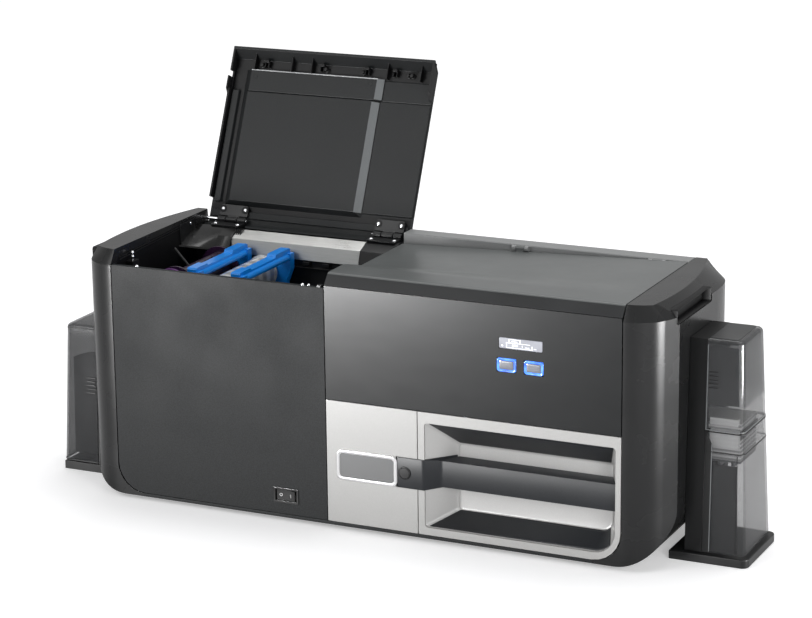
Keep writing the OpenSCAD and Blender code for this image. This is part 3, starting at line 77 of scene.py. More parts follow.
def add_object(name: str, data: bpy.types.ID) -> Obj:
    """Adds an object to the scene.

    Args:
        name: Its name.
        data: Its mesh, lamp or camera.

    Returns:
        The object.
    """
    obj = bpy.data.objects.new(name, data)
    bpy.context.scene.collection.objects.link(obj)
    return obj


@dataclass(frozen=True)
class Datum:
    """Where the machine's own frame starts, in the part's metres."""

    x: float
    y: float
    z: float

    @classmethod
    def from_frame(cls) -> "Datum":
        """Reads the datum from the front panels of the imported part.

        Returns:
            The datum: centre seam, front face and lower edge of the panels.
        """
        half_seam = 0.6 * MM
        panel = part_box("upper_front_panel")[0]
        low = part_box("badge_panel")[0]
        return cls(panel.x - half_seam, panel.y, low.z)

    def metres(self, points: Array) -> Array:
        """Millimetre points of the machine's frame as metres of the part's frame."""
        return np.asarray(points, float) * MM + np.array([self.x, self.y, self.z])

    def box(self, node: str) -> tuple[Array, Array]:
        """Box of a CAD node in the machine's millimetres.

        Args:
            node: The CAD node.

        Returns:
            Its lowest and highest corner.
        """
        shift = np.array([self.x, self.y, self.z])
        low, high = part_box(node)
        return (np.array(low) - shift) / MM, (np.array(high) - shift) / MM


DATUM = Datum.from_frame()


class Plane(Enum):
    """Plane in which an outline is drawn; the third axis is the one it is extruded along."""

    FRONT = (0, 2, 1)
    PLAN = (0, 1, 2)
    SIDE = (1, 2, 0)


def arc(cx: float, cy: float, r: float, start: float, end: float, count: int = 12) -> Array:
    """Points of an arc of radius r round (cx, cy), from start to end in degrees, in count steps."""
    t = np.radians(np.linspace(start, end, count + 1))
    return np.stack([cx + r * np.cos(t), cy + r * np.sin(t)], axis=1)


def rounded_rect(x0: float, y0: float, x1: float, y1: float, radii: Floats, count: int = 8) -> Array:
    """Outline of a rectangle with an arc at each corner: lower left, lower right, upper right, upper left.

    Args:
        x0: Left side.
        y0: Lower side.
        x1: Right side.
        y1: Upper side.
        radii: The four corner radii.
        count: Steps per arc.

    Returns:
        The outline, counter-clockwise.
    """
    a, b, c, d = (max(r, 0.01) for r in radii)
    return np.vstack([
        arc(x0 + a, y0 + a, a, 180, 270, count), arc(x1 - b, y0 + b, b, 270, 360, count),
        arc(x1 - c, y1 - c, c, 0, 90, count), arc(x0 + d, y1 - d, d, 90, 180, count)])


def inset_rect(box: Four, inset: float, radius: float, count: int = 8) -> Array:
    """Outline of a box (x0, z0, x1, z1) drawn in by inset, with the same radius at each corner."""
    x0, z0, x1, z1 = box
    return rounded_rect(x0 + inset, z0 + inset, x1 - inset, z1 - inset, (radius,) * 4, count)


def stood(line: Array, y: float) -> Array:
    """A front-view outline stood up at depth y."""
    return np.column_stack([line[:, 0], np.full(len(line), y), line[:, 1]])


def rod(radius: float, low: float, high: float) -> Array:
    """Lathe profile of a plain rod between two heights."""
    return np.array([[AXIS_R, low], [radius, low], [radius, high], [AXIS_R, high]])


def hoop(profile: Outline, centre: Floats, count: int,
         axes: Sequence[Floats] = ((1, 0, 0), (0, 1, 0), (0, 0, 1))) -> Array:
    """Rings of a profile turned round an axis at a distance from it.

    Args:
        profile: Points of radius and height.
        centre: Where height 0 lies.
        count: Points round the axis.
        axes: Two directions across the axis, and the axis.

    Returns:
        Points of shape (len(profile), count, 3).
    """
    profile = np.asarray(profile, float)
    across, other, along = (np.array(a, float) for a in axes)
    t = np.linspace(0.0, 2.0 * math.pi, count, endpoint=False)
    circle = np.cos(t)[:, None] * across + np.sin(t)[:, None] * other
    return np.array(centre) + profile[:, 0][:, None, None] * circle + profile[:, 1][:, None, None] * along


def ease(t: Array, a: float, b: float) -> Array:
    """Smooth step: 0 before a, 1 after b, and s squared times (3 - 2 s) between them."""
    s = np.clip((t - a) / (b - a), 0.0, 1.0)
    return s * s * (3.0 - 2.0 * s)


class Skin:
    """Gathers grids and polygons of points, in the machine's millimetres, into one mesh."""

    def __init__(self) -> None:
        """Starts empty."""
        self.points: list[Array] = []
        self.faces: list[list[int]] = []
        self.count = 0

    def _add(self, points: Array) -> int:
        """Adds points.

        Args:
            points: Points of any shape that ends in 3.

        Returns:
            The index of the first.
        """
        first = self.count
        self.points.append(np.array(points, float).reshape(-1, 3))
        self.count += len(self.points[-1])
        return first

    def grid(self, p: Rows, close_rows: bool = False, close_cols: bool = False) -> "Skin":
        """Adds a surface given as rows of points.

        Args:
            p: Points of shape (rows, columns, 3).
            close_rows: Joins the last row to the first.
            close_cols: Joins the last column to the first.

        Returns:
            This skin.
        """
        p = np.asarray(p, float)
        rows, cols = p.shape[:2]
        index = self._add(p) + np.arange(rows * cols).reshape(rows, cols)
        if close_rows:
            index = np.vstack([index, index[:1]])
        if close_cols:
            index = np.hstack([index, index[:, :1]])
        quads = np.stack([index[:-1, :-1], index[:-1, 1:], index[1:, 1:], index[1:, :-1]], axis=-1)
        self.faces += quads.reshape(-1, 4).tolist()
        return self

    def ring(self, rings: Rows) -> "Skin":
        """Adds a closed ring of surface: rings joined in order, and the last to the first."""
        return self.grid(rings, close_rows=True, close_cols=True)

    def polygon(self, ring: Array) -> "Skin":
        """Adds one flat face.

        Args:
            ring: The points round it.

        Returns:
            This skin.
        """
        first = self._add(ring)
        self.faces.append(list(range(first, first + len(ring))))
        return self

    def loft(self, rings: Rows) -> "Skin":
        """Adds a closed body: rings joined in order, with a face over the first and the last.

        Args:
            rings: Points of shape (rings, points, 3).

        Returns:
            This skin.
        """
        self.grid(rings, close_cols=True)
        self.polygon(rings[0])
        return self.polygon(rings[-1])

    def prism(self, outline: Outline, low: float, high: float, plane: Plane = Plane.FRONT) -> "Skin":
        """Adds an outline extruded straight along the plane's third axis.

        Args:
            outline: Points of shape (n, 2).
            low: Where the extrusion starts.
            high: Where it ends.
            plane: The plane that the outline lies in.

        Returns:
            This skin.
        """
        a, b, c = plane.value
        outline = np.asarray(outline, float)
        rings = np.zeros((2, len(outline), 3))
        rings[:, :, a] = outline[:, 0]
        rings[:, :, b] = outline[:, 1]
        rings[:, :, c] = np.array([[low], [high]])
        return self.loft(rings)

    def box(self, low: Floats, high: Floats) -> "Skin":
        """Adds a block between two corners."""
        outline = [[low[0], low[1]], [high[0], low[1]], [high[0], high[1]], [low[0], high[1]]]
        return self.prism(outline, low[2], high[2], Plane.PLAN)

    def lathe(self, profile: Outline, centre: Floats, axis: Floats, count: int = 40) -> "Skin":
        """Adds a profile turned once round an axis.

        Args:
            profile: Points of radius and height, from one end of the axis to the other.
            centre: Where height 0 lies.
            axis: Direction of the axis.
            count: Steps round the axis.

        Returns:
            This skin.
        """
        w = np.array(axis, float) / np.linalg.norm(axis)
        u = np.cross(w, [0.0, 0.0, 1.0] if abs(w[2]) < 0.9 else [1.0, 0.0, 0.0])
        u /= np.linalg.norm(u)
        return self.loft(hoop(profile, centre, count, (u, np.cross(w, u), w)))

    def tube(self, path: Array, radius: float, count: int = 16) -> "Skin":
        """Adds a round tube along a path: at each point a circle across the path's direction.

        Args:
            path: Points of shape (n, 3).
            radius: Radius of the tube.
            count: Points round it.

        Returns:
            This skin.
        """
        along = np.gradient(path, axis=0)
        along /= np.linalg.norm(along, axis=1, keepdims=True)
        side = np.cross(along, [0.12, 0.97, 0.2])
        side /= np.linalg.norm(side, axis=1, keepdims=True)
        other = np.cross(along, side)
        t = np.linspace(0.0, 2.0 * math.pi, count, endpoint=False)[None, :, None]
        rings = path[:, None, :] + radius * (np.cos(t) * side[:, None, :] + np.sin(t) * other[:, None, :])
        return self.loft(rings)

    def piece(self, name: str, sharp: float = 38.0) -> Obj:
        """Makes the object: doubles merged, faces outwards, smooth up to the sharp angle.

        Args:
            name: The piece's name.
            sharp: Angle in degrees above which an edge stays sharp.

        Returns:
            The new object, at the origin.
        """
        mesh = bpy.data.meshes.new(name)
        mesh.from_pydata(DATUM.metres(np.vstack(self.points)).tolist(), [], self.faces)
        obj = add_object(name, mesh)
        tidy_mesh(obj, sharp)
        return obj

    def make(self, name: str, finish: "Finish", slot: str = "black_plastic", stands_for: Sequence[str] = (),
             body: str = "machine", sharp: float = 38.0, edge: float = 0.0) -> Obj:
        """Makes the object and dresses it.

        Args:
            name: The piece's name.
            finish: Its finish.
            slot: The record's material slot; not used.
            stands_for: CAD nodes that it replaces.
            body: The CAD body that it rides on.
            sharp: Angle in degrees above which an edge stays sharp.
            edge: Width of its edge rounding in millimetres, or 0 for none.

        Returns:
            The piece.
        """
        obj = self.piece(name, sharp)
        if edge:
            soften(obj, edge, 2)
        dress(obj, finish, stands_for, body)
        return obj


def tidy_mesh(obj: Obj, sharp: float, flatten: bool = False) -> None:
    """Merges doubles, turns faces outwards and sets smooth shading.

    Args:
        obj: The object whose mesh is tidied.
        sharp: Angle in degrees above which an edge stays sharp.
        flatten: Also joins triangles that lie in one plane.
    """
    work = bmesh.new()
    work.from_mesh(obj.data)
    bmesh.ops.remove_doubles(work, verts=work.verts, dist=0.004 * MM)
    bmesh.ops.dissolve_degenerate(work, edges=work.edges, dist=0.004 * MM)
    if flatten:
        bmesh.ops.dissolve_limit(work, angle_limit=math.radians(0.6), verts=work.verts, edges=work.edges)
    bmesh.ops.recalc_face_normals(work, faces=work.faces)
    work.to_mesh(obj.data)
    work.free()
    obj.data.shade_smooth()
    obj.data.set_sharp_from_angle(angle=math.radians(sharp))


def soften(obj: Obj, width: float, segments: int = 3, angle: float = 30.0) -> Obj:
    """Rounds a piece's edges, as a mould leaves them.

    Args:
        obj: The piece.
        width: Width of the rounding in millimetres.
        segments: Steps across it.
        angle: Edges flatter than this stay as they are.

    Returns:
        The same piece.
    """
    bevel = obj.modifiers.new("rounded_edges", "BEVEL")
    bevel.width = width * MM
    bevel.segments = segments
    bevel.limit_method = "ANGLE"
    bevel.angle_limit = math.radians(angle)
    bevel.use_clamp_overlap = True
    normals = obj.modifiers.new("even_normals", "WEIGHTED_NORMAL")
    normals.weight = 70
    return obj


def thicken(obj: Obj, thickness: float) -> Obj:
    """Gives a sheet a thickness, half to each side.

    Args:
        obj: The sheet.
        thickness: Its thickness in millimetres.

    Returns:
        The same piece.
    """
    wall = obj.modifiers.new("thickness", "SOLIDIFY")
    wall.thickness = thickness * MM
    wall.offset = 0.0
    return obj


def shape_with(obj: Obj, tool: Obj, operation: str) -> Obj:
    """Cuts or trims a piece by another, which is used up.

    Args:
        obj: The piece that is changed.
        tool: The body it is cut by.
        operation: DIFFERENCE, INTERSECT or UNION.

    Returns:
        The changed piece.
    """
    step = obj.modifiers.new("shape", "BOOLEAN")
    step.operation = operation
    step.solver = "EXACT"
    step.object = tool
    graph = bpy.context.evaluated_depsgraph_get()
    result = bpy.data.meshes.new_from_object(obj.evaluated_get(graph))
    obj.modifiers.clear()
    obj.data = result
    bpy.data.objects.remove(tool)
    return obj


# ---- finishes

class Nodes:
    """Adds nodes to one tree."""

    def __init__(self, tree: bpy.types.NodeTree, clear: bool = True) -> None:
        """Works on one tree.

        Args:
            tree: The node tree.
            clear: Empties it first.
        """
        self.tree = tree
        if clear:
            tree.nodes.clear()

    def node(self, kind: str, inputs: Optional[dict[Any, Any]] = None, **options: Any) -> bpy.types.Node:
        """Adds a node.

        Args:
            kind: The node type without its ShaderNode prefix.
            inputs: Socket name or number to a value or an output socket.
            **options: Properties of the node itself.

        Returns:
            The node.
        """
        made = self.tree.nodes.new("ShaderNode" + kind)
        for key, value in options.items():
            setattr(made, key, value)
        for key, value in (inputs or {}).items():
            if isinstance(value, Socket):
                self.tree.links.new(value, made.inputs[key])
            else:
                made.inputs[key].default_value = value
        return made

    def math(self, operation: str, first: Any, second: Any) -> Socket:
        """The outcome of a calculation on two values or sockets."""
        return self.node("Math", {0: first, 1: second}, operation=operation).outputs[0]


class Shader(Nodes):
    """Builds one node material on Object coordinates, with a principled surface."""

    def __init__(self, name: str) -> None:
        """Makes the material and its surface.

        Args:
            name: The finish's name.
        """
        self.material = bpy.data.materials.new("finish_" + name)
        self.material.use_nodes = True
        super().__init__(self.material.node_tree)
        self.surface = self.node("BsdfPrincipled")
        self.node("OutputMaterial", {"Surface": self.surface.outputs[0]})
        self.coords = self.node("TexCoord").outputs["Object"]

    def set(self, **values: Any) -> None:
        """Sets sockets of the principled surface; underscores in a name stand for spaces."""
        for key, value in values.items():
            self.surface.inputs[key.replace("_", " ")].default_value = value

    def link(self, output: Socket, name: str) -> None:
        """Joins an output to a socket of the principled surface."""
        self.tree.links.new(output, self.surface.inputs[name])

    def noise(self, size_mm: float, detail: float = 3.0, stretch: Floats = (1, 1, 1)) -> Socket:
        """Noise whose spots are about size_mm wide.

        Args:
            size_mm: Width of a spot.
            detail: Finer levels on top of it.
            stretch: Factor on the scale along X, Y and Z.

        Returns:
            The noise's factor.
        """
        mapped = self.node("Mapping", {"Vector": self.coords, "Scale": tuple(stretch)}).outputs[0]
        scale = 1.0 / (size_mm * MM)
        return self.node("TexNoise", {"Vector": mapped, "Scale": scale, "Detail": detail}).outputs["Fac"]

    def ranged(self, value: Socket, low: float, high: float,
               start: float = 0.3, end: float = 0.7) -> Socket:
        """Maps a factor between start and end to low and high."""
        return self.node("MapRange", {0: value, 1: start, 2: end, 3: low, 4: high}).outputs[0]

    def blend(self, factor: Any, first: Any, second: Any) -> Socket:
        """A colour between first and second, each of them a colour or a socket."""
        ends = [(*c, 1.0) if isinstance(c, tuple) else c for c in (first, second)]
        return self.node("Mix", {0: factor, 6: ends[0], 7: ends[1]}, data_type="RGBA").outputs[2]

    def tones(self, factor: Socket, colour: Colour, low: float, high: float) -> Socket:
        """A colour between two shades of itself."""
        return self.blend(factor, shade(colour, low), shade(colour, high))

    def bump(self, height: Socket, depth_mm: float, strength: float = 1.0) -> None:
        """Raises the surface by a height of up to depth_mm."""
        made = self.node("Bump", {"Height": height, "Distance": depth_mm * MM, "Strength": strength})
        self.link(made.outputs[0], "Normal")


@dataclass(frozen=True)
class Finish:
    """A surface finish; material() makes it once."""

    name: str

    def material(self) -> bpy.types.Material:
        """The finish's material, made on first use.

        Returns:
            The material.
        """
        found = bpy.data.materials.get("finish_" + self.name)
        if found:
            return found
        shader = Shader(self.name)
        self.paint(shader)
        return shader.material

    def paint(self, s: Shader) -> None:
        """Lays the finish on a new shader."""
        raise NotImplementedError


def shade(colour: Colour, factor: float) -> Colour:
    """A colour times a factor."""
    return tuple(min(1.0, c * factor) for c in colour)


@dataclass(frozen=True)
class Moulded(Finish):
    """Moulded plastic: a spark-eroded grain, faint flow marks and worn patches of gloss."""

    colour: Colour
    roughness: float = 0.45
    grain_mm: float = 0.9
    depth_mm: float = 0.03
    speckle: float = 0.12
    specular: float = 0.5
    wear: float = 0.05
    coat: float = 0.0
    coat_roughness: float = 0.1

    def paint(self, s: Shader) -> None:
        """Lays grain, flow marks and uneven gloss.

        Args:
            s: Its shader.
        """
        s.set(Specular_IOR_Level=self.specular, Coat_Weight=self.coat, Coat_Roughness=self.coat_roughness)
        grain = s.noise(self.grain_mm, 2.0)
        flow = s.noise(70.0, 4.0)
        tone = s.tones(s.ranged(grain, 0.0, 1.0), self.colour, 1.0 - self.speckle, 1.0 + self.speckle)
        s.link(s.blend(0.35, tone, s.tones(flow, self.colour, 0.86, 1.14)), "Base Color")
        s.link(s.ranged(flow, self.roughness - self.wear, self.roughness + self.wear), "Roughness")
        s.bump(grain, self.depth_mm, 0.8)


@dataclass(frozen=True)
class Gloss(Finish):
    """Polished plastic: a clear deep surface with faint smears and dust."""

    colour: Colour
    roughness: float = 0.12
    smear: float = 0.05
    specular: float = 0.5
    coat: float = 0.6

    def paint(self, s: Shader) -> None:
        """Lays smears and a faint wave.

        Args:
            s: Its shader.
        """
        s.set(Specular_IOR_Level=self.specular, Coat_Weight=self.coat, Coat_Roughness=0.05)
        smears = s.noise(28.0, 5.0, (1.0, 1.0, 2.4))
        s.link(s.ranged(smears, self.roughness - self.smear, self.roughness + self.smear), "Roughness")
        s.link(s.tones(smears, self.colour, 0.92, 1.08), "Base Color")
        s.bump(s.noise(60.0, 2.0), 0.01, 0.1)


@dataclass(frozen=True)
class Paint(Finish):
    """Metallic paint: fine flakes under a satin lacquer."""

    colour: Colour
    metallic: float = 0.55
    roughness: float = 0.36
    flake_mm: float = 0.5

    def paint(self, s: Shader) -> None:
        """Lays flakes and faint clouds.

        Args:
            s: Its shader.
        """
        s.set(Metallic=self.metallic, Roughness=self.roughness, Coat_Weight=0.08, Coat_Roughness=0.3)
        flakes = s.noise(self.flake_mm, 2.0)
        cloud = s.noise(55.0, 3.0)
        tone = s.tones(s.ranged(flakes, 0.0, 1.0), self.colour, 0.9, 1.1)
        s.link(s.blend(0.3, tone, s.tones(cloud, self.colour, 0.985, 1.015)), "Base Color")
        s.bump(flakes, 0.008, 0.4)


@dataclass(frozen=True)
class Metal(Finish):
    """Metal, brushed along one axis or turned bright."""

    colour: Colour
    roughness: float = 0.28
    brush: Triple = (0.02, 1.0, 1.0)
    brush_mm: float = 0.35
    depth_mm: float = 0.01

    def paint(self, s: Shader) -> None:
        """Lays brush lines and stains.

        Args:
            s: Its shader.
        """
        s.set(Metallic=1.0)
        lines = s.noise(self.brush_mm, 3.0, self.brush)
        stain = s.noise(30.0, 3.0)
        s.link(s.tones(s.ranged(lines, 0.0, 1.0), self.colour, 0.86, 1.06), "Base Color")
        rough = s.ranged(lines, self.roughness - 0.06, self.roughness + 0.06)
        s.link(s.math("ADD", rough, s.ranged(stain, -0.04, 0.05)), "Roughness")
        s.bump(lines, self.depth_mm, 0.5)


@dataclass(frozen=True)
class Smoked(Finish):
    """Smoked see-through plastic: a thin dark film that covers more at a glancing angle."""

    tint: Colour
    roughness: float = 0.06
    cover: float = 0.5

    def paint(self, s: Shader) -> None:
        """Lays mould flow and a film that covers more at its rim.

        Args:
            s: Its shader.
        """
        s.set(Specular_IOR_Level=0.55, IOR=1.5, Coat_Weight=0.15, Coat_Roughness=0.05)
        flow = s.noise(26.0, 3.0, (1.0, 1.0, 0.5))
        s.link(s.tones(s.ranged(flow, 0.0, 1.0), self.tint, 0.85, 1.15), "Base Color")
        s.link(s.ranged(flow, self.roughness - 0.03, self.roughness + 0.04), "Roughness")
        rim = s.node("LayerWeight", {"Blend": 0.22}).outputs["Fresnel"]
        s.link(s.ranged(rim, self.cover, min(1.0, self.cover + 0.3), 0.05, 0.9), "Alpha")
        s.bump(s.noise(32.0, 2.0), 0.05, 0.25)


@dataclass(frozen=True)
class Layered(Finish):
    """A stack or winding: fine lines across one axis, with uneven tones."""

    colour: Colour
    line_colour: Colour
    pitch_mm: float = 0.8
    axis: str = "Z"
    roughness: float = 0.35
    gloss: float = 0.0

    def paint(self, s: Shader) -> None:
        """Lays lines across one axis.

        Args:
            s: Its shader.
        """
        s.set(Coat_Weight=self.gloss, Coat_Roughness=0.12)
        scale = 1000.0 / self.pitch_mm / 20.0
        wave = s.node("TexWave", {"Vector": s.coords, "Scale": scale, "Distortion": 0.15, "Detail": 1.0},
                      wave_type="BANDS", bands_direction=self.axis)
        lines = wave.outputs["Fac"]
        s.link(s.blend(s.ranged(lines, 0.0, 1.0, 0.25, 0.8), self.line_colour, self.colour), "Base Color")
        s.link(s.ranged(s.noise(9.0, 2.0), self.roughness - 0.06, self.roughness + 0.08), "Roughness")
        s.bump(lines, 0.08, 0.5)


@dataclass(frozen=True)
class Glow(Finish):
    """A lit part: its colour glows, a little unevenly."""

    colour: Colour
    bright: Colour
    strength: float = 1.0
    spot_mm: float = 9.0

    def paint(self, s: Shader) -> None:
        """Lays an uneven glow.

        Args:
            s: Its shader.
        """
        s.set(Roughness=0.25, Coat_Weight=0.5, Emission_Strength=self.strength)
        tone = s.blend(s.ranged(s.noise(self.spot_mm, 1.0), 0.0, 1.0), self.colour, self.bright)
        s.link(tone, "Base Color")
        s.link(tone, "Emission Color")


@dataclass(frozen=True)
class Palette:
    """Every finish of the machine."""

    cover: Finish = Moulded("textured_charcoal", (0.018, 0.0197, 0.0208), 0.5, 1.1, 0.10, 0.65, 0.08)
    # Lighter copy of the charcoal for the printer cover's top: painted light.
    top: Finish = Moulded("charcoal_top_painted_light", (0.090, 0.096, 0.096), 0.34, 0.5, 0.01, 0.08)
    # Light grey for the rear top strip: painted light on its top face.
    strip: Finish = Moulded("strip_painted_light_grey", (0.20, 0.205, 0.206), 0.36, 0.6, 0.01, 0.08, 0.4)
    # Darker copy of the same charcoal for the cover's front slope: painted shade.
    slope: Finish = Moulded("charcoal_slope_painted_shade", (0.020, 0.021, 0.022), 0.34, 0.5, 0.01, 0.08, 0.3)
    cap: Finish = Moulded("satin_black_cap", (0.013, 0.0133, 0.0137), 0.27, 0.6, 0.004, 0.05, 0.26, 0.04)
    lid: Finish = Moulded("lid_black", (0.0095, 0.0108, 0.0115), 0.52, 0.9, 0.03, 0.35, 0.2)
    # Light grey of painted light: the lid liner's lit slopes and highlights along the hopper doors' edges.
    edge_painted_light: Finish = Moulded("painted_light_grey", (0.17, 0.18, 0.185), 0.34, 0.7, 0.01, 0.1)
    # Paler grey of painted highlight for the front face of the lid liner's raised panel.
    lid_painted_highlight: Finish = Moulded("painted_highlight_pale", (0.42, 0.43, 0.44), 0.3, 0.7, 0.01, 0.08)
    band: Finish = Moulded("band_charcoal", (0.022, 0.024, 0.0275), 0.42, 0.8, 0.02, 0.15, 0.2, 0.04)
    black: Finish = Moulded("matt_black", (0.003, 0.003, 0.0035), 0.5, 0.9, 0.02, 0.15, 0.2, 0.06)
    shelf: Finish = Gloss("shelf_black", (0.003, 0.003, 0.003), 0.16, 0.05, 0.35, 0.1)
    frame_black: Finish = Moulded("frame_black", (0.007, 0.0073, 0.0078), 0.38, 0.9, 0.02, 0.2, 0.32)
    dock: Finish = Moulded("dock_charcoal", (0.0045, 0.0048, 0.005), 0.36, 0.7, 0.015, 0.1, 0.24)
    roof: Finish = Moulded("roof_charcoal", (0.022, 0.023, 0.024), 0.36, 0.8, 0.015, 0.1, 0.35)
    foot: Finish = Moulded("foot_charcoal", (0.007, 0.0073, 0.0078), 0.4, 1.0, 0.02, 0.15, 0.3)
    rubber: Finish = Moulded("feet_rubber", (0.012, 0.012, 0.012), 0.75, 0.7, 0.04, 0.2, 0.3)
    roller: Finish = Moulded("roller_rubber", (0.02, 0.02, 0.02), 0.55, 0.5, 0.02, 0.1)
    red_roller: Finish = Moulded("heat_roller_rubber", (0.30, 0.055, 0.03), 0.5, 0.5, 0.02)
    blue: Finish = Moulded("cartridge_blue", (0.002, 0.200, 0.66), 0.33, 0.7, 0.008, 0.05, 0.5, 0.05, 0.2)
    tray: Finish = Moulded("tray_grey", (0.16, 0.165, 0.17), 0.4, 0.8, 0.02, 0.1)
    gloss: Finish = Gloss("piano_black", (0.0026, 0.0036, 0.0044), 0.245, 0.006, 0.28, 0.0)
    button: Finish = Gloss("button_pale", (0.20, 0.21, 0.25), 0.25, 0.05, 0.5, 0.4)
    switch: Finish = Gloss("switch_black", (0.008, 0.008, 0.008), 0.2, 0.05, 0.5, 0.3)
    silver: Finish = Paint("satin_silver", (0.46, 0.456, 0.446), 0.12, 0.27)
    silver_tub: Finish = Paint("silver_paint_recess", (0.50, 0.496, 0.488), 0.06, 0.34)
    badge_silver: Finish = Paint("badge_silver", (0.72, 0.72, 0.725), 0.1, 0.26, 0.4)
    badge_field: Finish = Moulded("badge_field", (0.045, 0.047, 0.05), 0.4, 0.6, 0.01, 0.08, 0.5, 0.04)
    rail: Finish = Metal("brushed_aluminium", (0.64, 0.64, 0.625), 0.33)
    # Darker copy of the rail's aluminium for its front face: painted shade.
    rail_face_painted_shade: Finish = Metal("aluminium_painted_shade", (0.28, 0.285, 0.28), 0.4)
    steel: Finish = Metal("polished_steel", (0.75, 0.76, 0.78), 0.16, (1.0, 1.0, 1.0), 1.5, 0.004)
    plate: Finish = Metal("plate_steel", (0.42, 0.43, 0.45), 0.34, (1.0, 0.1, 0.03), 0.6)
    smoked: Finish = Smoked("smoked_upper", (0.040, 0.042, 0.045), 0.10, 0.5)
    smoked_pale: Finish = Smoked("smoked_lower", (0.050, 0.052, 0.055), 0.10, 0.26)
    smoked_left: Finish = Smoked("smoked_left", (0.046, 0.048, 0.052), 0.10, 0.42)
    cards: Finish = Layered("card_edges", (0.86, 0.86, 0.86), (0.42, 0.42, 0.43), 0.76, "Z", 0.4)
    card_block: Finish = Layered("card_block", (0.95, 0.95, 0.95), (0.90, 0.90, 0.91), 0.76, "Z", 0.4)
    film: Finish = Layered("film_dark", (0.022, 0.006, 0.028), (0.008, 0.003, 0.010), 2.4, "Y", 0.3, 0.1)
    film_end: Finish = Moulded("film_end_purple", (0.10, 0.016, 0.14), 0.35, 0.7, 0.01, 0.1, 0.4)
    clear_film: Finish = Layered("film_clear", (0.55, 0.56, 0.56), (0.30, 0.31, 0.32), 3.0, "Y", 0.2, 0.7)
    ribbon: Finish = Layered("ribbon_amber", (0.5, 0.30, 0.03), (0.14, 0.08, 0.01), 2.6, "Y", 0.22, 0.6)
    used_ribbon: Finish = Layered("ribbon_used", (0.03, 0.15, 0.26), (0.01, 0.03, 0.06), 2.6, "Y", 0.22, 0.6)
    ring: Finish = Glow("ring_blue", (0.02, 0.10, 0.75), (0.09, 0.33, 1.0), 0.9)
    screen: Finish = Glow("display_grey", (0.23, 0.235, 0.27), (0.30, 0.31, 0.35), 0.7, 22.0)
    ink: Finish = Glow("display_ink", (0.75, 0.78, 0.85), (0.95, 0.97, 1.0), 0.8)
    mark: Finish = Moulded("mark_white", (0.7, 0.7, 0.7), 0.5, 0.5, 0.01, 0.05, 0.5, 0.04)


PALETTE = Palette()
RECORD = frame["record"]
BODY_OF = {node: body for body, nodes in RECORD["behaviour"]["bodies"].items() for node in nodes}
SLOT_OF = {part["node"]: part["material_slot"] for part in RECORD["subparts"]}


def dress(obj: Obj, finish: Finish, stands_for: Sequence[str] = (),
          body: str = "machine") -> None:
    """Gives a new piece its finish and body.

    Args:
        obj: The piece.
        finish: Its finish.
        stands_for: CAD nodes that it replaces.
        body: The CAD body that it rides on.
    """
    obj.data.materials.clear()
    obj.data.materials.append(finish.material())
    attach(obj, body)
    if stands_for:
        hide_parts(*stands_for)
    LOG.info("%s on %s: %d faces", obj.name, body, len(obj.data.polygons))


def skin_of(node: str, finish: Finish, edge: float, segments: int = 3, flatten: bool = True) -> Obj:
    """Stands a copy of a CAD node with rounded edges in its place.

    Args:
        node: The CAD node.
        finish: Its finish.
        edge: Width of the edge rounding in millimetres.
        segments: Steps across the rounding.
        flatten: Also joins triangles that lie in one plane.

    Returns:
        The new piece.
    """
    source = frame["nodes"][node]
    obj = add_object(node + "_skin", source.data.copy())
    if obj.data.attributes.get("custom_normal"):
        obj.data.attributes.remove(obj.data.attributes["custom_normal"])
    tidy_mesh(obj, 30.0, flatten)
    soften(obj, edge, segments)
    dress(obj, finish, (node,), BODY_OF[node])
    return obj


def finish_below(obj: Obj, finish: Finish, axis: int, limit: float) -> None:
    """Gives a second finish to the faces whose centre lies below a limit.

    Args:
        obj: A dressed piece.
        finish: The second finish.
        axis: 0, 1 or 2 for the machine's X, Y or Z.
        limit: Where the second finish ends, in the machine's millimetres.
    """
    obj.data.materials.append(finish.material())
    centres = np.empty(3 * len(obj.data.polygons))
    obj.data.polygons.foreach_get("center", centres)
    edge = DATUM.metres(np.full(3, limit))[axis]
    obj.data.polygons.foreach_set("material_index", (centres.reshape(-1, 3)[:, axis] < edge).astype(np.int32))


def keep_node(node: str, finish: Finish) -> None:
    """Leaves a CAD node's shape as it is and gives it a finish.

    Args:
        node: The CAD node.
        finish: Its finish.
    """
    obj = frame["nodes"][node]
    obj.data.materials.clear()
    obj.data.materials.append(finish.material())
    LOG.info("%s keeps its CAD shape", node)


# ---- end caps

class Side(Enum):
    """Which end of the machine a piece belongs to; the value is the direction of u, outwards."""

    LEFT = -1
    RIGHT = 1


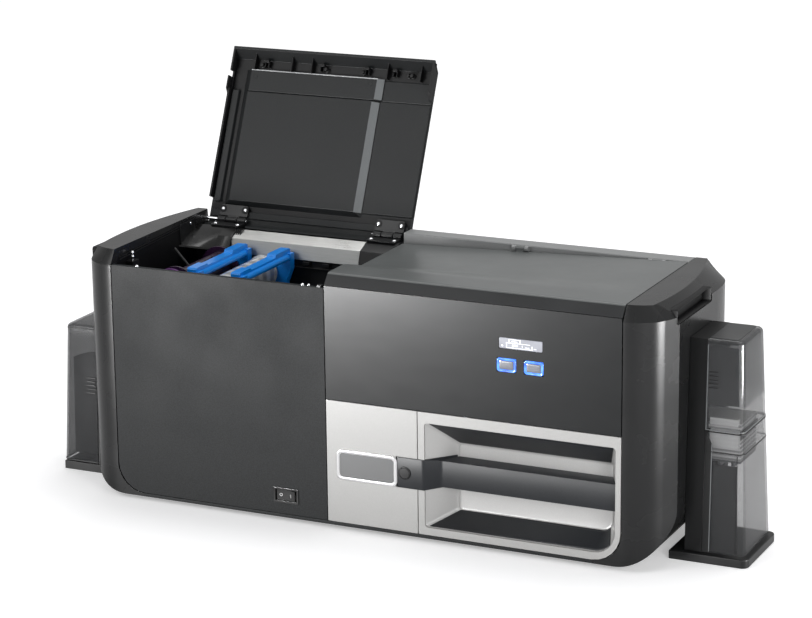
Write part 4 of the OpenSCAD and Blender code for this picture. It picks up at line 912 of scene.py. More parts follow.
@dataclass
class EndCap:
    """A rounded moulded post at one end: a plan with an elliptical nose, lofted to a bowed top."""

    side: Side
    seam_x: float = 353.2
    width: float = 48.0
    depth: float = 232.0
    height: float = 287.0
    nose_w: float = 43.0
    nose_d: float = 40.0
    nose_end: float = 67.0
    strip_d: float = 18.0
    bevel_w: float = 15.0
    bevel_h: float = 17.0
    slope_d: float = 10.5
    bow: float = 0.0011
    bow_mid: float = 95.0
    corner_r: float = 34.0
    half_seam: float = 0.6
    foot_r: float = 58.0
    under: float = -4.5
    grip: Four = (38.0, 146.0, 262.0, 279.0)
    grip_depth: float = 12.0
    window: Four = (83.5, 140.5, 20.0, 226.0)
    window_depth: float = 60.0
    nose_steps: int = 40
    side_steps: int = 48
    reach: float = 40.0

    @classmethod
    def at(cls, side: Side) -> "EndCap":
        """The cap of one side: the left one is nearer the seam and its pocket is lower and shallower.

        Args:
            side: The side.

        Returns:
            Its sizes.
        """
        if side is Side.RIGHT:
            return cls(side)
        return cls(side, seam_x=273.2, window=(83.5, 140.5, 20.0, 157.0), window_depth=16.0)

    def place(self, points: Array) -> Array:
        """Turns points drawn outwards from the cap's seam into machine coordinates.

        Args:
            points: Points as (u, y, z).

        Returns:
            The same points as (x, y, z).
        """
        out = np.array(points, float)
        out[..., 0] = self.side.value * (self.seam_x + out[..., 0])
        return out

    def plan(self) -> Array:
        """Plan outline: straight, an ellipse x = a sin t, y = b - b cos t, a flat strip, a rounded back.

        Returns:
            Points from the seam's front round to the seam's back.
        """
        t = np.radians(np.linspace(0.0, self.nose_end, self.nose_steps))
        nose = np.stack([self.nose_w * np.sin(t), self.nose_d * (1.0 - np.cos(t))], axis=1)
        strip_y = nose[-1, 1] + self.strip_d
        ys = np.linspace(strip_y, self.depth, self.side_steps)
        back = np.clip((ys - 0.6 * self.depth) / (0.4 * self.depth), 0.0, 1.0)
        xs = self.width - 22.0 * back ** 5 - 2.0 * back ** 2
        side = np.stack([xs, ys], axis=1)
        return np.vstack([[[-self.reach, 0.0]], nose, side, [[-self.reach, self.depth]]])

    def crown(self) -> Array:
        """Outline of the flat top: straight in front, bowed by a square along the side.

        Returns:
            Points, one for each of the plan's.
        """
        front_x = self.width - self.bevel_w - self.bow * (self.slope_d + 8.0 - self.bow_mid) ** 2
        share = np.linspace(0.0, 1.0, self.nose_steps) ** 1.25
        front = np.stack([front_x * share, self.slope_d + 8.0 * share ** 2], axis=1)
        ys = np.linspace(self.slope_d + 8.0, self.depth - 2.0, self.side_steps + 1)[1:]
        xs = self.width - self.bevel_w - self.bow * (ys - self.bow_mid) ** 2
        return np.vstack([[[-self.reach, self.slope_d]], front, np.stack([xs, ys], axis=1),
                          [[-self.reach, self.depth - 2.0]]])

    def face(self) -> Array:
        """Front view: the inner side follows the panels' rounded corner, the outer side rounds into the foot.

        Returns:
            The outline in u and z.
        """
        inner = arc(-self.corner_r, self.corner_r - self.half_seam, self.corner_r, 0, -90, 24)
        outer = arc(self.width - self.foot_r, self.under + self.foot_r, self.foot_r, -90, 0, 32)
        return np.vstack([[[0.0, self.height + 1.0]], inner, [[-self.corner_r, self.under]], outer,
                          [[self.width + 1.0, self.height + 1.0]]])

    def body(self) -> Obj:
        """Lofts the plan up to the bowed top and trims it by the front view.

        Returns:
            The cap's solid form.
        """
        plan, crown = self.plan(), self.crown()
        levels = [(plan, self.under - 1.0), (plan, self.height - self.bevel_h), (crown, self.height)]
        rings = np.stack([np.column_stack([p, np.full(len(p), z)]) for p, z in levels])
        solid = Skin().loft(self.place(rings)).piece(f"{self.side.name.lower()}_end_cap_skin", 20.0)
        face = self.face()
        face[:, 0] = self.side.value * (self.seam_x + face[:, 0])
        trim = Skin().prism(face, -1.0, self.depth + 1.0).piece("trim")
        return shape_with(solid, trim, "INTERSECT")

    def cut_block(self, solid: Obj, u0: float, u1: float, box: Floats, r: float) -> None:
        """Cuts a pocket with rounded corners into the cap's outer side.

        Args:
            solid: The cap.
            u0: Inner end of the pocket.
            u1: Outer end of the cutter.
            box: Lowest and highest Y, then lowest and highest Z.
            r: Corner radius.
        """
        y0, y1, z0, z1 = box
        outline = rounded_rect(y0, z0, y1, z1, (r,) * 4)
        ends = sorted(self.side.value * (self.seam_x + u) for u in (u0, u1))
        tool = Skin().prism(outline, ends[0], ends[1], Plane.SIDE).piece("pocket")
        shape_with(solid, tool, "DIFFERENCE")

    def build(self) -> None:
        """Makes the cap and stands it in the CAD node's place."""
        node = f"{self.side.name.lower()}_end_cap"
        solid = self.body()
        self.cut_block(solid, self.width - self.grip_depth, self.width + 9.0, self.grip, 3.0)
        self.cut_block(solid, self.width - self.window_depth, self.width + 9.0, self.window, 1.0)
        tidy_mesh(solid, 28.0, flatten=True)
        soften(solid, 0.9, 3, 24.0)
        dress(solid, PALETTE.cap, (node,))
        self.grip_lining()

    def grip_lining(self) -> None:
        """Lines the hand grip with matt black: its outline, drawn in a little, runs out from its floor."""
        y0, y1, z0, z1 = self.grip
        gap = 0.25
        ends = (self.width - 1.2, self.width - self.grip_depth + gap)
        line = inset_rect((y0, z0, y1, z1), gap, 2.8, 6)
        rings = [np.column_stack([np.full(len(line), u), line]) for u in ends]
        skin = Skin().grid(self.place(rings), close_cols=True).polygon(self.place(rings[-1]))
        obj = thicken(skin.piece(f"{self.side.name.lower()}_grip_lining", 40.0), 0.2)
        dress(obj, PALETTE.black)


# ---- printer side

@dataclass
class PrinterCover:
    """Top cover of the printer: a slope along its front and a smooth dip at its back left."""

    width: float = 352.0
    top: float = 287.0
    slope_d: float = 10.5
    slope_h: float = 12.5
    dip: float = 12.0
    dip_start: float = 45.0
    dip_full: float = 98.0
    back: float = 204.0
    seam: float = 0.6
    shell: float = 3.0
    columns: int = 72
    axis_y: float = 204.5
    axis_z: float = 284.0
    knuckle_r: float = 3.0
    knuckle_half: float = 5.0
    knuckle_xs: Pair = (150.0, 316.0)
    rib_xs: Pair = (60.0, 205.0)

    def height(self, x: Array, y: Array) -> Array:
        """Height of the top: full, less the front slope, less the dip times an ease in y and a fade in x.

        Args:
            x: Places across the cover.
            y: Places along its depth.

        Returns:
            A height for each place.
        """
        fade = np.clip(1.0 - x / (self.width - 10.0), 0.0, 1.0)
        slope = self.slope_h * np.clip(1.0 - y / self.slope_d, 0.0, 1.0)
        return self.top - slope - self.dip * ease(y, self.dip_start, self.dip_full) * fade

    def build(self) -> None:
        """Makes the shell as a grid of heights with its underside a wall lower."""
        round_y = self.slope_d + arc(0.0, 0.0, 1.0, 180, 90, 6)[:, 0] * 1.5
        ys = np.concatenate([[0.0, 0.6], np.linspace(1.6, self.slope_d - 1.5, 5), round_y[1:],
                             np.linspace(self.slope_d + 2.0, self.back, 70)])
        xs = np.linspace(self.seam, self.width, self.columns)
        x, y = np.meshgrid(xs, ys)
        z = self.height(x, y)
        z -= 0.35 * np.exp(-((y - self.slope_d) / 1.2) ** 2)
        under_y = np.clip(y, self.shell + 0.6, None)
        under = np.where(y < self.slope_d, np.minimum(z, self.top - self.slope_h), z - self.shell)
        low = np.stack([x, under_y, under], axis=-1)
        high = np.stack([x, y, z], axis=-1)
        skin = Skin().grid(high).grid(low[::-1])
        rim_a = np.stack([low[0], high[0]])
        rim_b = np.stack([high[-1], low[-1]])
        skin.grid(rim_a).grid(rim_b)
        skin.grid([high[:, 0], low[:, 0]]).grid([low[:, -1], high[:, -1]])
        obj = skin.piece("printer_cover_skin", 32.0)
        soften(obj, 0.45, 2, 50.0)
        dress(obj, PALETTE.top, ("printer_cover",), "cover")
        # The front slope gets the darker copy, painted shade; the rest keeps the lighter copy, painted light.
        finish_below(obj, PALETTE.slope, 1, self.slope_d - 1.2)
        self.hinges()

    def hinges(self) -> None:
        """Knuckles and ribs under the cover, on its own body."""
        axis_y, axis_z, half = self.axis_y, self.axis_z, self.knuckle_half
        skin = Skin()
        for x in self.knuckle_xs:
            skin.lathe(rod(self.knuckle_r, -half, half), (x, axis_y, axis_z), (1, 0, 0), 24)
            low = float(self.height(np.array(x), np.array(self.back))) - self.shell
            skin.box((x - half, axis_y - 7.0, low), (x + half, axis_y - 0.5, low + 2.4))
            skin.box((x - half, axis_y - 2.4, low), (x + half, axis_y - 0.4, axis_z))
        for x in self.rib_xs:
            top = float(self.height(np.array(x + 3.0), np.array(self.dip_full))) - 1.5
            skin.box((x, self.dip_full, self.top - self.dip - 7.0), (x + 2.5, self.back - 22.0, top))
        skin.make("cover_knuckles", PALETTE.top, "charcoal", body="cover", sharp=30.0)


@dataclass
class FrontRecess:
    """The silver recess with its tapered tub and the dark band folded round its left wall."""

    x0: float = 120.7
    x1: float = 346.0
    z0: float = 8.5
    z1: float = 130.0
    depth: float = 35.0
    lean_left: float = 27.0
    lean_right: float = 15.0
    lean_floor: float = 14.0
    lean_roof: float = 30.0
    big_r: float = 25.0
    small_r: float = 4.0
    back_r: float = 1.6
    panel: float = 3.0
    wall: float = 2.2
    band_x: float = 88.1
    band_z: float = 51.5
    band_h: float = 35.5
    inner_h: float = 31.0
    setback: float = 12.0
    proud: float = 0.8
    steps: int = 14

    def section(self, share: float, grow: float = 0.0) -> Array:
        """Outline of the tub's inside at a share of its depth: the mouth's sides lean in linearly.

        Args:
            share: 0 at the mouth, 1 at the back.
            grow: How far the outline is drawn outwards.

        Returns:
            The outline in the front view.
        """
        r = self.small_r + grow
        return rounded_rect(self.x0 + self.lean_left * share - grow, self.z0 + self.lean_floor * share - grow,
                            self.x1 - self.lean_right * share + grow, self.z1 - self.lean_roof * share + grow,
                            (r, self.big_r * (1 - 0.5 * share) + grow, r, r), 12)

    def tub(self) -> None:
        """Makes the tub: an inner skin with a small radius at its back edge, and an outer skin round it."""
        inner = [stood(self.section(0.0), self.panel - 0.2)]
        shares = np.linspace(0.0, 1.0, self.steps)
        for s in shares[:-1]:
            inner.append(stood(self.section(s), self.panel + s * (self.depth - self.panel)))
        r = self.back_r
        for a in np.radians(np.linspace(0.0, 90.0, 5)):
            inner.append(stood(self.section(1.0, -r * (1 - math.cos(a))), self.depth - r + r * math.sin(a)))
        outer = [stood(self.section(0.0, self.wall), self.panel + 0.1),
                 stood(self.section(1.0, self.wall), self.depth + self.wall)]
        skin = Skin()
        skin.grid(inner, close_cols=True).polygon(inner[-1])
        skin.grid(outer, close_cols=True).polygon(outer[-1])
        skin.grid([inner[0], outer[0]], close_cols=True)
        skin.make("recess_tub_skin", PALETTE.silver_tub, "silver_paint", ("recess_tub",), sharp=34.0)

    def liner(self) -> None:
        """A dark lining of the recess's floor and a dark sheet of painted shade under its ceiling, half a
        millimetre proud of the tub.
        """
        lift, edge = 0.5, 3.4
        # The ceiling's sheet is painted shade.
        for name, low in (("recess_floor_lining", True), ("recess_roof_painted_shade", False)):
            rows = []
            for s in np.linspace(0.03, 0.955, 10):
                left, right = self.x0 + self.lean_left * s + edge, self.x1 - self.lean_right * s
                if low:
                    z = self.z0 + self.lean_floor * s
                    r = self.big_r * (1 - 0.5 * s)
                    line = np.vstack([[[left, z]], arc(right - r, z + r, r, 270, 318, 12)])
                else:
                    z = self.z1 - self.lean_roof * s
                    line = np.array([[left, z], [right - edge, z]])
                line[:, 1] += lift if low else -lift
                rows.append(stood(line, self.panel + s * (self.depth - self.panel)))
            dress(thicken(Skin().grid(rows).piece(name, 50.0), 0.35), PALETTE.band)

    def left_wall(self, y: float) -> float:
        """X of the tub's left wall at depth y."""
        return self.x0 + self.lean_left * max(0.0, y - self.panel) / (self.depth - self.panel)

    def right_wall(self, y: float) -> float:
        """X of the tub's right wall at depth y."""
        return self.x1 - self.lean_right * max(0.0, y - self.panel) / (self.depth - self.panel)

    def band(self) -> None:
        """Makes the band: flat over the panels, round the left wall in soft folds, then set back inside."""
        fold_x = self.left_wall(self.setback) + 7.0
        corners = np.array([[self.band_x, -self.proud], [self.x0 - 0.5, -self.proud],
                            [fold_x, self.setback], [self.right_wall(self.setback) - 0.4, self.setback]])
        path = self.rounded(corners, 3.0)
        share = np.clip((path[:, 0] - self.x0) / (fold_x - self.x0), 0.0, 1.0)
        half = (self.band_h - (self.band_h - self.inner_h) * share) / 2.0
        mid = self.band_z + self.band_h / 2.0
        back_y = np.where(path[:, 0] <= self.x0, self.panel - 0.5, self.depth - 0.5)
        back_x = path[:, 0].copy()
        inside = path[:, 0] > self.x0
        back_x[inside] = np.maximum(back_x[inside], self.left_wall(self.depth - 0.5) + 0.4)
        back_x[-1] = self.right_wall(self.depth - 0.5) - 0.4
        edge = 0.7
        front = [(path[:, 0], path[:, 1] + out, drop) for out, drop in ((edge, 0.0), (0.2, 0.2), (0.0, edge))]
        steps = [(back_x, back_y, 0.0), *front]
        rows = [np.column_stack([x, y, mid + half - drop]) for x, y, drop in steps]
        rows += [np.column_stack([x, y, mid - half + drop]) for x, y, drop in reversed(steps)]
        skin = Skin().grid(rows, close_rows=True)
        for end in (0, -1):
            skin.polygon(np.stack([row[end] for row in rows]))
        skin.make("trim_band_skin", PALETTE.band, "charcoal", ("trim_band",), sharp=34.0)

    @staticmethod
    def rounded(corners: Array, radius: float, steps: int = 8) -> Array:
        """A path through corners, each inner one replaced by a quadratic curve.

        Args:
            corners: Points of shape (n, 2).
            radius: How far before and after a corner the curve starts and ends.
            steps: Steps along each curve.

        Returns:
            The rounded path.
        """
        out = [corners[:1]]
        t = np.linspace(0.0, 1.0, steps + 1)[:, None]
        for a, b, c in zip(corners[:-2], corners[1:-1], corners[2:]):
            p = b + (a - b) / np.linalg.norm(a - b) * radius
            q = b + (c - b) / np.linalg.norm(c - b) * radius
            out.append((1 - t) ** 2 * p + 2 * t * (1 - t) * b + t ** 2 * q)
        out.append(corners[-1:])
        return np.vstack(out)

    def build(self) -> None:
        """Makes the tub, its linings and the band."""
        self.tub()
        self.liner()
        self.band()


@dataclass
class FrontPanels:
    """The flat panels, the blank badge, the round plug, the display, the lit buttons and the switch."""

    lcd: Four = (210.5, 226.0, 261.5, 238.5)
    ring_x: float = 208.0
    ring_z: float = 199.7
    ring_w: float = 23.0
    ring_h: float = 16.0
    pitch: float = 31.8
    badge: Four = (13.3, 51.5, 87.8, 87.0)
    plug: Pair = (97.0, 69.25)
    pictogram: tuple[Four, ...] = (
        (0.23, 0.85, 0.50, 0.90), (0.23, 0.56, 0.248, 0.90), (0.482, 0.56, 0.50, 0.90),
        (0.17, 0.54, 0.72, 0.59), (0.17, 0.13, 0.188, 0.59), (0.752, 0.13, 0.77, 0.46),
        (0.19, 0.12, 0.77, 0.17), (0.30, 0.28, 0.44, 0.33), (0.30, 0.40, 0.44, 0.44),
        (0.53, 0.26, 0.548, 0.44), (0.60, 0.26, 0.70, 0.31), (0.80, 0.20, 0.86, 0.26),
        (0.29, 0.68, 0.43, 0.73))
    badge_steps: tuple[Pair, ...] = (
        (0.0, 0.0), (0.0, -1.9), (0.25, -2.3), (0.7, -2.5), (3.2, -2.5), (3.6, -2.3), (3.8, -1.7))
    ring_steps: tuple[Pair, ...] = (
        (0.3, 2.6), (0.3, 0.1), (0.55, -0.35), (1.0, -0.55), (1.5, -0.45), (3.0, 0.1), (3.0, 2.6))
    button_steps: tuple[Pair, ...] = ((3.15, 3.0), (3.15, 0.1), (3.35, -0.35), (3.9, -0.55), (5.0, -0.62))
    mark_x: float = 6.6
    mark_y: float = -2.35
    rocker_y: float = 2.2
    rocker_tilt: float = 8.0
    rocker_x: float = -52.5
    rocker_z: float = 22.15

    def panels(self) -> None:
        """Rounds the edges of the CAD panels."""
        for node, finish, edge in (
                ("left_front_cover", PALETTE.cover, 0.8), ("upper_front_panel", PALETTE.gloss, 0.5),
                ("badge_panel", PALETTE.silver, 0.5), ("recess_panel", PALETTE.silver, 0.7)):
            skin_of(node, finish, edge, flatten=False)

    def badge_plate(self) -> None:
        """Makes the blank badge: a raised rim round a plain field."""
        rings = []
        for inset, y in self.badge_steps:
            r = max(7.0 - inset, 1.0)
            rings.append(stood(inset_rect(self.badge, inset, r, 10), y))
        rim = Skin().loft(rings)
        rim.make("badge_rim", PALETTE.badge_silver, "silver_paint", ("badge_plate",), sharp=50.0)
        field_line = inset_rect(self.badge, 3.9, 4.0)
        Skin().prism(field_line, -1.95, -1.6).make("badge_field", PALETTE.badge_field, "charcoal")

    def round_plug(self) -> None:
        """Makes the round plug: a shallow disc in a ring groove."""
        x, z = self.plug
        disc = [[AXIS_R, 0.3], [7.5, 0.3], [7.5, 1.5], [7.2, 1.75], [6.6, 1.8], [6.3, 1.3], [6.0, 1.3],
                [5.7, 1.8], [3.0, 1.95], [AXIS_R, 2.0]]
        Skin().lathe(disc, (x, 0.0, z), (0, -1, 0), 56).make("lock_plug_skin", PALETTE.black, "black_plastic",
            ("lock_plug",), sharp=40.0)

    def display(self) -> None:
        """Makes the display: a lit field with a generic pictogram of a machine and a status dot."""
        x0, z0, x1, z1 = self.lcd
        line = inset_rect(self.lcd, 0.3, 1.6, 6)
        Skin().prism(line, 0.35, 2.6).make("display_screen", PALETTE.screen, "display",
                                                        ("display_window",), edge=0.3)
        w, h = x1 - x0, z1 - z0
        skin = Skin()
        for a, b, c, d in self.pictogram:
            skin.box((x0 + a * w, 0.2, z0 + b * h), (x0 + c * w, 0.36, z0 + d * h))
        skin.lathe(rod(1.15, 0.0, 0.16), (x0 + 0.08 * w, 0.36, z0 + 0.28 * h), (0, -1, 0), 20)
        skin.make("display_pictogram", PALETTE.ink, "display")

    def ring_line(self, k: int, inset: float) -> Array:
        """Outline of a button's ring.

        Args:
            k: The button's number.
            inset: How far the outline is drawn in.

        Returns:
            The outline in the front view.
        """
        x = self.ring_x + k * self.pitch
        r = max(3.4 - inset, 1.0)
        return inset_rect((x, self.ring_z, x + self.ring_w, self.ring_z + self.ring_h), inset, r)

    def buttons(self) -> None:
        """Makes the lit rings, which slope in to their buttons, and the softly crowned buttons."""
        ring = Skin()
        for k in (0, 1):
            rings = np.stack([stood(self.ring_line(k, i), y) for i, y in self.ring_steps])
            ring.ring(rings)
        ring.make("button_glow", PALETTE.ring, "light_ring", ("button_light_rings",), sharp=50.0)
        for k, node in enumerate(("left_button", "right_button")):
            rings = np.stack([stood(self.ring_line(k, i), y) for i, y in self.button_steps])
            cap = Skin().loft(rings)
            cap.make(node + "_cap", PALETTE.button, SLOT_OF[node], (node,), BODY_OF[node], 40.0)

    def switch(self) -> None:
        """Rounds the switch and adds its plain O and I marks."""
        skin_of("switch_bezel", PALETTE.switch, 0.4)
        skin_of("power_rocker", PALETTE.switch, 0.3)
        tilt = math.radians(self.rocker_tilt)
        marks = Skin()
        for side in (-1, 1):
            x, y = side * self.mark_x, self.mark_y
            centre = np.array([self.rocker_x + x * math.cos(tilt) + y * math.sin(tilt),
                               self.rocker_y - x * math.sin(tilt) + y * math.cos(tilt), self.rocker_z])
            out = np.array([-math.sin(tilt + side * 0.24), -math.cos(tilt + side * 0.24), 0.0])
            if side < 0:
                profile = [[1.25, -0.2], [1.9, -0.2], [1.9, 0.22], [1.25, 0.22]]
                rings = hoop(profile, centre, 28, (np.cross(out, [0, 0, 1.0]), (0, 0, 1), out))
                marks.ring(rings)
            else:
                for dz in np.linspace(-1.6, 1.6, 9):
                    marks.lathe(rod(0.45, -0.2, 0.22), centre + np.array([0, 0, dz]), out, 12)
        marks.make("switch_marks", PALETTE.mark, body="rocker")

    def build(self) -> None:
        """Makes every piece of the front."""
        self.panels()
        self.badge_plate()
        self.round_plug()
        self.display()
        self.buttons()
        self.switch()


# ---- hoppers

@dataclass
class HopperDoor:
    """A smoked door: front, outer side and back round a rounded corner, with a roof where it has one."""

    node: str
    side: Side
    z0: float
    z1: float
    roof: bool
    ears: Pair
    finish: Finish
    clear_z: float = 0.0
    side_x: float = 401.2
    out: float = 69.0
    flare_w: float = 9.0
    full: float = 240.0
    y: float = 75.0
    depth: float = 74.0
    inner_u: float = 20.8
    wall: float = 2.2
    corner: float = 8.0
    roof_r: float = 5.0
    pin_u: float = 25.0
    pin_y: float = 162.0
    ear_r: float = 3.2
    ear_t: float = 5.0
    bore_r: float = 1.7
    left_x: float = -321.2
    levels: int = 16

    def flare(self, z: float) -> float:
        """How much wider the hopper is at height z than at its top."""
        return self.flare_w * (1.0 - max(0.0, z) / self.full)

    def outline(self, z: float, inset: float) -> Array:
        """Plan of the door at height z: an open U whose outer corners are arcs.

        Args:
            z: Height.
            inset: How far the line is drawn in.

        Returns:
            Points from the front's inner end round to the back's inner end.
        """
        f = self.flare(z)
        u1 = self.out - self.flare_w + f - inset
        y0, y1 = self.y - f + inset, self.y + self.depth + f - inset
        r = max(self.corner - inset, 0.6)
        front = np.stack([np.linspace(self.inner_u, u1 - r, 8)[:-1], np.full(7, y0)], axis=1)
        back = np.stack([np.linspace(u1 - r, self.inner_u, 8)[1:], np.full(7, y1)], axis=1)
        return np.vstack([front, arc(u1 - r, y0 + r, r, -90, 0, 12), arc(u1 - r, y1 - r, r, 0, 90, 12), back])

    def place(self, points: Array) -> Array:
        """Turns points drawn outwards from the cap's side into machine coordinates.

        Args:
            points: Points as (u, y, z).

        Returns:
            The same points as (x, y, z).
        """
        out = np.array(points, float)
        offset = self.side_x if self.side is Side.RIGHT else self.left_x
        out[..., 0] = self.side.value * out[..., 0] + offset
        return out

    def wall_rows(self, inset: float) -> Array:
        """The door's wall as rows of points; under a roof it rolls over in a quarter circle.

        Args:
            inset: How far the wall is drawn in.

        Returns:
            Rows from the door's foot up.
        """
        top = self.z1 - (self.roof_r if self.roof else 0.0)
        rows = [self.shell(z, inset) for z in np.linspace(self.z0, top, self.levels)]
        r = self.roof_r - inset
        for a in np.radians(np.linspace(15.0, 90.0, 6)) if self.roof else ():
            rows.append(self.shell(top + r * math.sin(a), inset + r * (1.0 - math.cos(a))))
        return self.place(np.stack(rows))

    def sheet(self, outline: Array, inset: float, depths: Pair) -> Array:
        """Two rings of a flat sheet that follows the door's leaning front.

        Args:
            outline: Its outline in u and z.
            inset: How far the front is drawn in.
            depths: Distance of each ring behind that front.

        Returns:
            The rings in machine coordinates.
        """
        front = self.outline(0.0, inset)[0, 1]
        rise = (self.outline(self.z1, inset)[0, 1] - front) / self.z1
        u, z = outline.T
        return self.place(np.stack([np.column_stack([u, front + rise * z + d, z]) for d in depths]))

    def block(self, skin: Skin, low: Floats, high: Floats) -> None:
        """Adds a block between two corners given in (u, y, z)."""
        ends = self.place(np.array([low, high]))
        skin.box(ends.min(axis=0), ends.max(axis=0))

    def shell(self, z: float, inset: float) -> Array:
        """The U at height z as a row of points."""
        line = self.outline(z, inset)
        return np.column_stack([line, np.full(len(line), z)])

    def build(self) -> None:
        """Makes the door with its roof and its hinge ears."""
        outer, inner = self.wall_rows(0.0), self.wall_rows(self.wall)
        skin = Skin()
        skin.grid(outer).grid(inner)
        skin.grid([outer[0], inner[0]])
        skin.grid([outer[:, 0], inner[:, 0]]).grid([outer[:, -1], inner[:, -1]])
        if self.roof:
            half = len(outer[-1]) // 2
            for row in (outer[-1], inner[-1]):
                skin.grid([row[:half], row[::-1][:half]])
            skin.grid([np.stack([outer[-1][0], outer[-1][-1]]), np.stack([inner[-1][0], inner[-1][-1]])])
        else:
            skin.grid([outer[-1], inner[-1]])
        obj = skin.piece(self.node + "_shell", 34.0)
        dress(obj, self.finish, (self.node,), BODY_OF[self.node])
        finish_below(obj, PALETTE.smoked_pale, 2, self.clear_z)
        self.hinge_ears()

    def hinge_ears(self) -> None:
        """Makes the two ears that turn on the door's pins."""
        skin = Skin()
        r0, r1, top = self.bore_r, self.ear_r, self.ear_t
        ring = [[r0, 0.0], [r1, 0.0], [r1, top], [r0, top]]
        for z in self.ears:
            y1 = self.y + self.depth + self.flare(z)
            skin.ring(self.place(hoop(ring, (self.pin_u, self.pin_y, z), 28)))
            self.block(skin, (self.pin_u - self.ear_r, y1 - self.wall, z),
                       (self.pin_u + self.ear_r, self.pin_y - 2.4, z + self.ear_t))
        skin.make(self.node + "_ears", PALETTE.dock, body=BODY_OF[self.node], sharp=34.0, edge=0.3)


@dataclass
class Hoppers:
    """The card hoppers at both ends, with their frames, foot plates and what they hold."""

    line_w: float = 0.9
    step_u: float = 28.0
    foot_limit: Pair = (-388.9, 66.5)
    window_z: float = 115.0
    shade_u: float = 53.5
    grip_count: int = 5

    def belt(self, door: HopperDoor, skin: Skin, z: float, height: float, proud: float = 0.35) -> None:
        """Adds a thin band round a door: its outline at height z, proud of the wall, run up by height."""
        rows = [(z, 0.1), (z, -proud), (z + height, -proud), (z + height, 0.1)]
        skin.grid(door.place([door.shell(h, inset) for h, inset in rows]), close_rows=True)

    def upright(self, door: HopperDoor, skin: Skin, u: float, z0: float, z1: float, width: float) -> None:
        """Adds an upright line on a door's front, following its flare.

        Args:
            door: The door.
            skin: Where it goes.
            u: The line's inner edge.
            z0: Its foot.
            z1: Its top.
            width: Its width.
        """
        rows = []
        for z in np.linspace(z0, z1, 8):
            y = door.outline(z, 0.0)[0, 1]
            front, back = y - 0.35, y + 0.3
            rows.append([[u, back, z], [u, front, z], [u + width, front, z], [u + width, back, z]])
        skin.loft(door.place(np.array(rows)))

    def input_details(self, upper: HopperDoor, lower: HopperDoor) -> None:
        """Makes the right hopper's roof panel, its dark step, its seams, light grey lines of painted
        highlight along the doors' edges, and dark sheets of painted shade behind the fronts.

        Args:
            upper: The upper door.
            lower: The lower door.
        """
        roof = rounded_rect(21.4, upper.y + 6.0, upper.out - upper.flare_w - 7.0, upper.y + upper.depth - 5.0,
                            (0.6, 5.0, 5.0, 0.6))
        roof[:, 0] += upper.side_x
        Skin().prism(roof, upper.z1 - 0.6, upper.z1 + 0.5, Plane.PLAN).make("upper_door_panel", PALETTE.roof,
            body=BODY_OF[upper.node], sharp=40.0, edge=0.3)

        step = Skin()
        line = np.array([[lower.inner_u, 2.0], [self.step_u, 2.0], [self.step_u, 124.0],
                         [lower.inner_u, lower.z1 - 0.5]])
        step.loft(lower.sheet(line, 0.0, (-0.3, 1.0)))
        step.make("lower_door_step", PALETTE.dock, body=BODY_OF[lower.node], sharp=30.0)

        dark = Skin()
        self.belt(lower, dark, lower.z1 - 1.4, 1.3)
        self.belt(lower, dark, self.window_z, 1.2)
        self.upright(lower, dark, lower.out - 12.0, 3.0, self.window_z - 1.0, 0.8)
        dark.make("lower_door_seams", PALETTE.black, body=BODY_OF[lower.node], sharp=40.0)
        # Painted highlight: light grey lines along the doors' edges.
        highlight_lines = Skin()
        self.upright(lower, highlight_lines, self.step_u, 3.0, 123.5, self.line_w)
        highlight_lines.make("lower_door_painted_highlight", PALETTE.edge_painted_light, "charcoal", body=BODY_OF[lower.node], sharp=40.0)
        # Painted highlight on the upper door's inner edge and foot.
        painted_light_pieces = Skin()
        self.upright(upper, painted_light_pieces, upper.inner_u, upper.z0 + 0.6, upper.z1 - 6.0, self.line_w)
        self.belt(upper, painted_light_pieces, upper.z0, 0.8)
        painted_light_pieces.make("upper_door_painted_highlight", PALETTE.edge_painted_light, "charcoal", body=BODY_OF[upper.node], sharp=40.0)
        self.grips(upper, "upper_door_grips", PALETTE.dock, (186.0, 4.4, 1.3), 2.5, 0.45)
        # Dark sheets behind both doors' fronts: painted shade standing in for the dark inside seen through
        # the smoked plastic.
        self.shade(upper, "upper_door_painted_shade", np.array([[upper.inner_u, 168.0], [57.0, 168.0], [54.5, 232.0],
                                                        [upper.inner_u, 232.0]]))
        self.shade(lower, "lower_door_painted_shade", np.array([[self.step_u + 0.5, 3.0], [59.5, 3.0], [57.0, 101.0],
                                                        [self.step_u + 0.5, 101.0]]))
        for name, low, high in (("upper_card_block", (424.0, 79.5, 143.5), (456.0, 85.6, 151.5)),
                                ("lower_card_block", (424.0, 78.5, 117.5), (456.5, 85.6, 137.8))):
            Skin().box(low, high).make(name, PALETTE.card_block, "card_white", edge=0.4)

    def grips(self, door: HopperDoor, name: str, finish: Finish, rows: Triple,
              start: float, proud: float) -> None:
        """Makes the grip lines on a door's front.

        Args:
            door: The door they ride on.
            name: The piece's name.
            finish: Its finish.
            rows: Height of the lowest line, distance to the next, and height of a line.
            start: Distance of the lines' inner end from the door's.
            proud: How far they stand off the front.
        """
        first, pitch, height = rows
        skin = Skin()
        for z in first + pitch * np.arange(self.grip_count):
            y = door.outline(z, 0.0)[0, 1]
            door.block(skin, (door.inner_u + start, y - proud, z), (door.inner_u + 13.0, y + 0.3, z + height))
        skin.make(name, finish, body=BODY_OF[door.node], edge=0.2)

    def shade(self, door: HopperDoor, name: str, outline: Array) -> None:
        """Makes a dark sheet close behind a door's front.

        Args:
            door: The door it rides on.
            name: The piece's name.
            outline: Its outline in u and z.
        """
        sheet = Skin().loft(door.sheet(outline, door.wall, (0.2, 1.2)))
        sheet.make(name, PALETTE.black, body=BODY_OF[door.node], sharp=40.0)

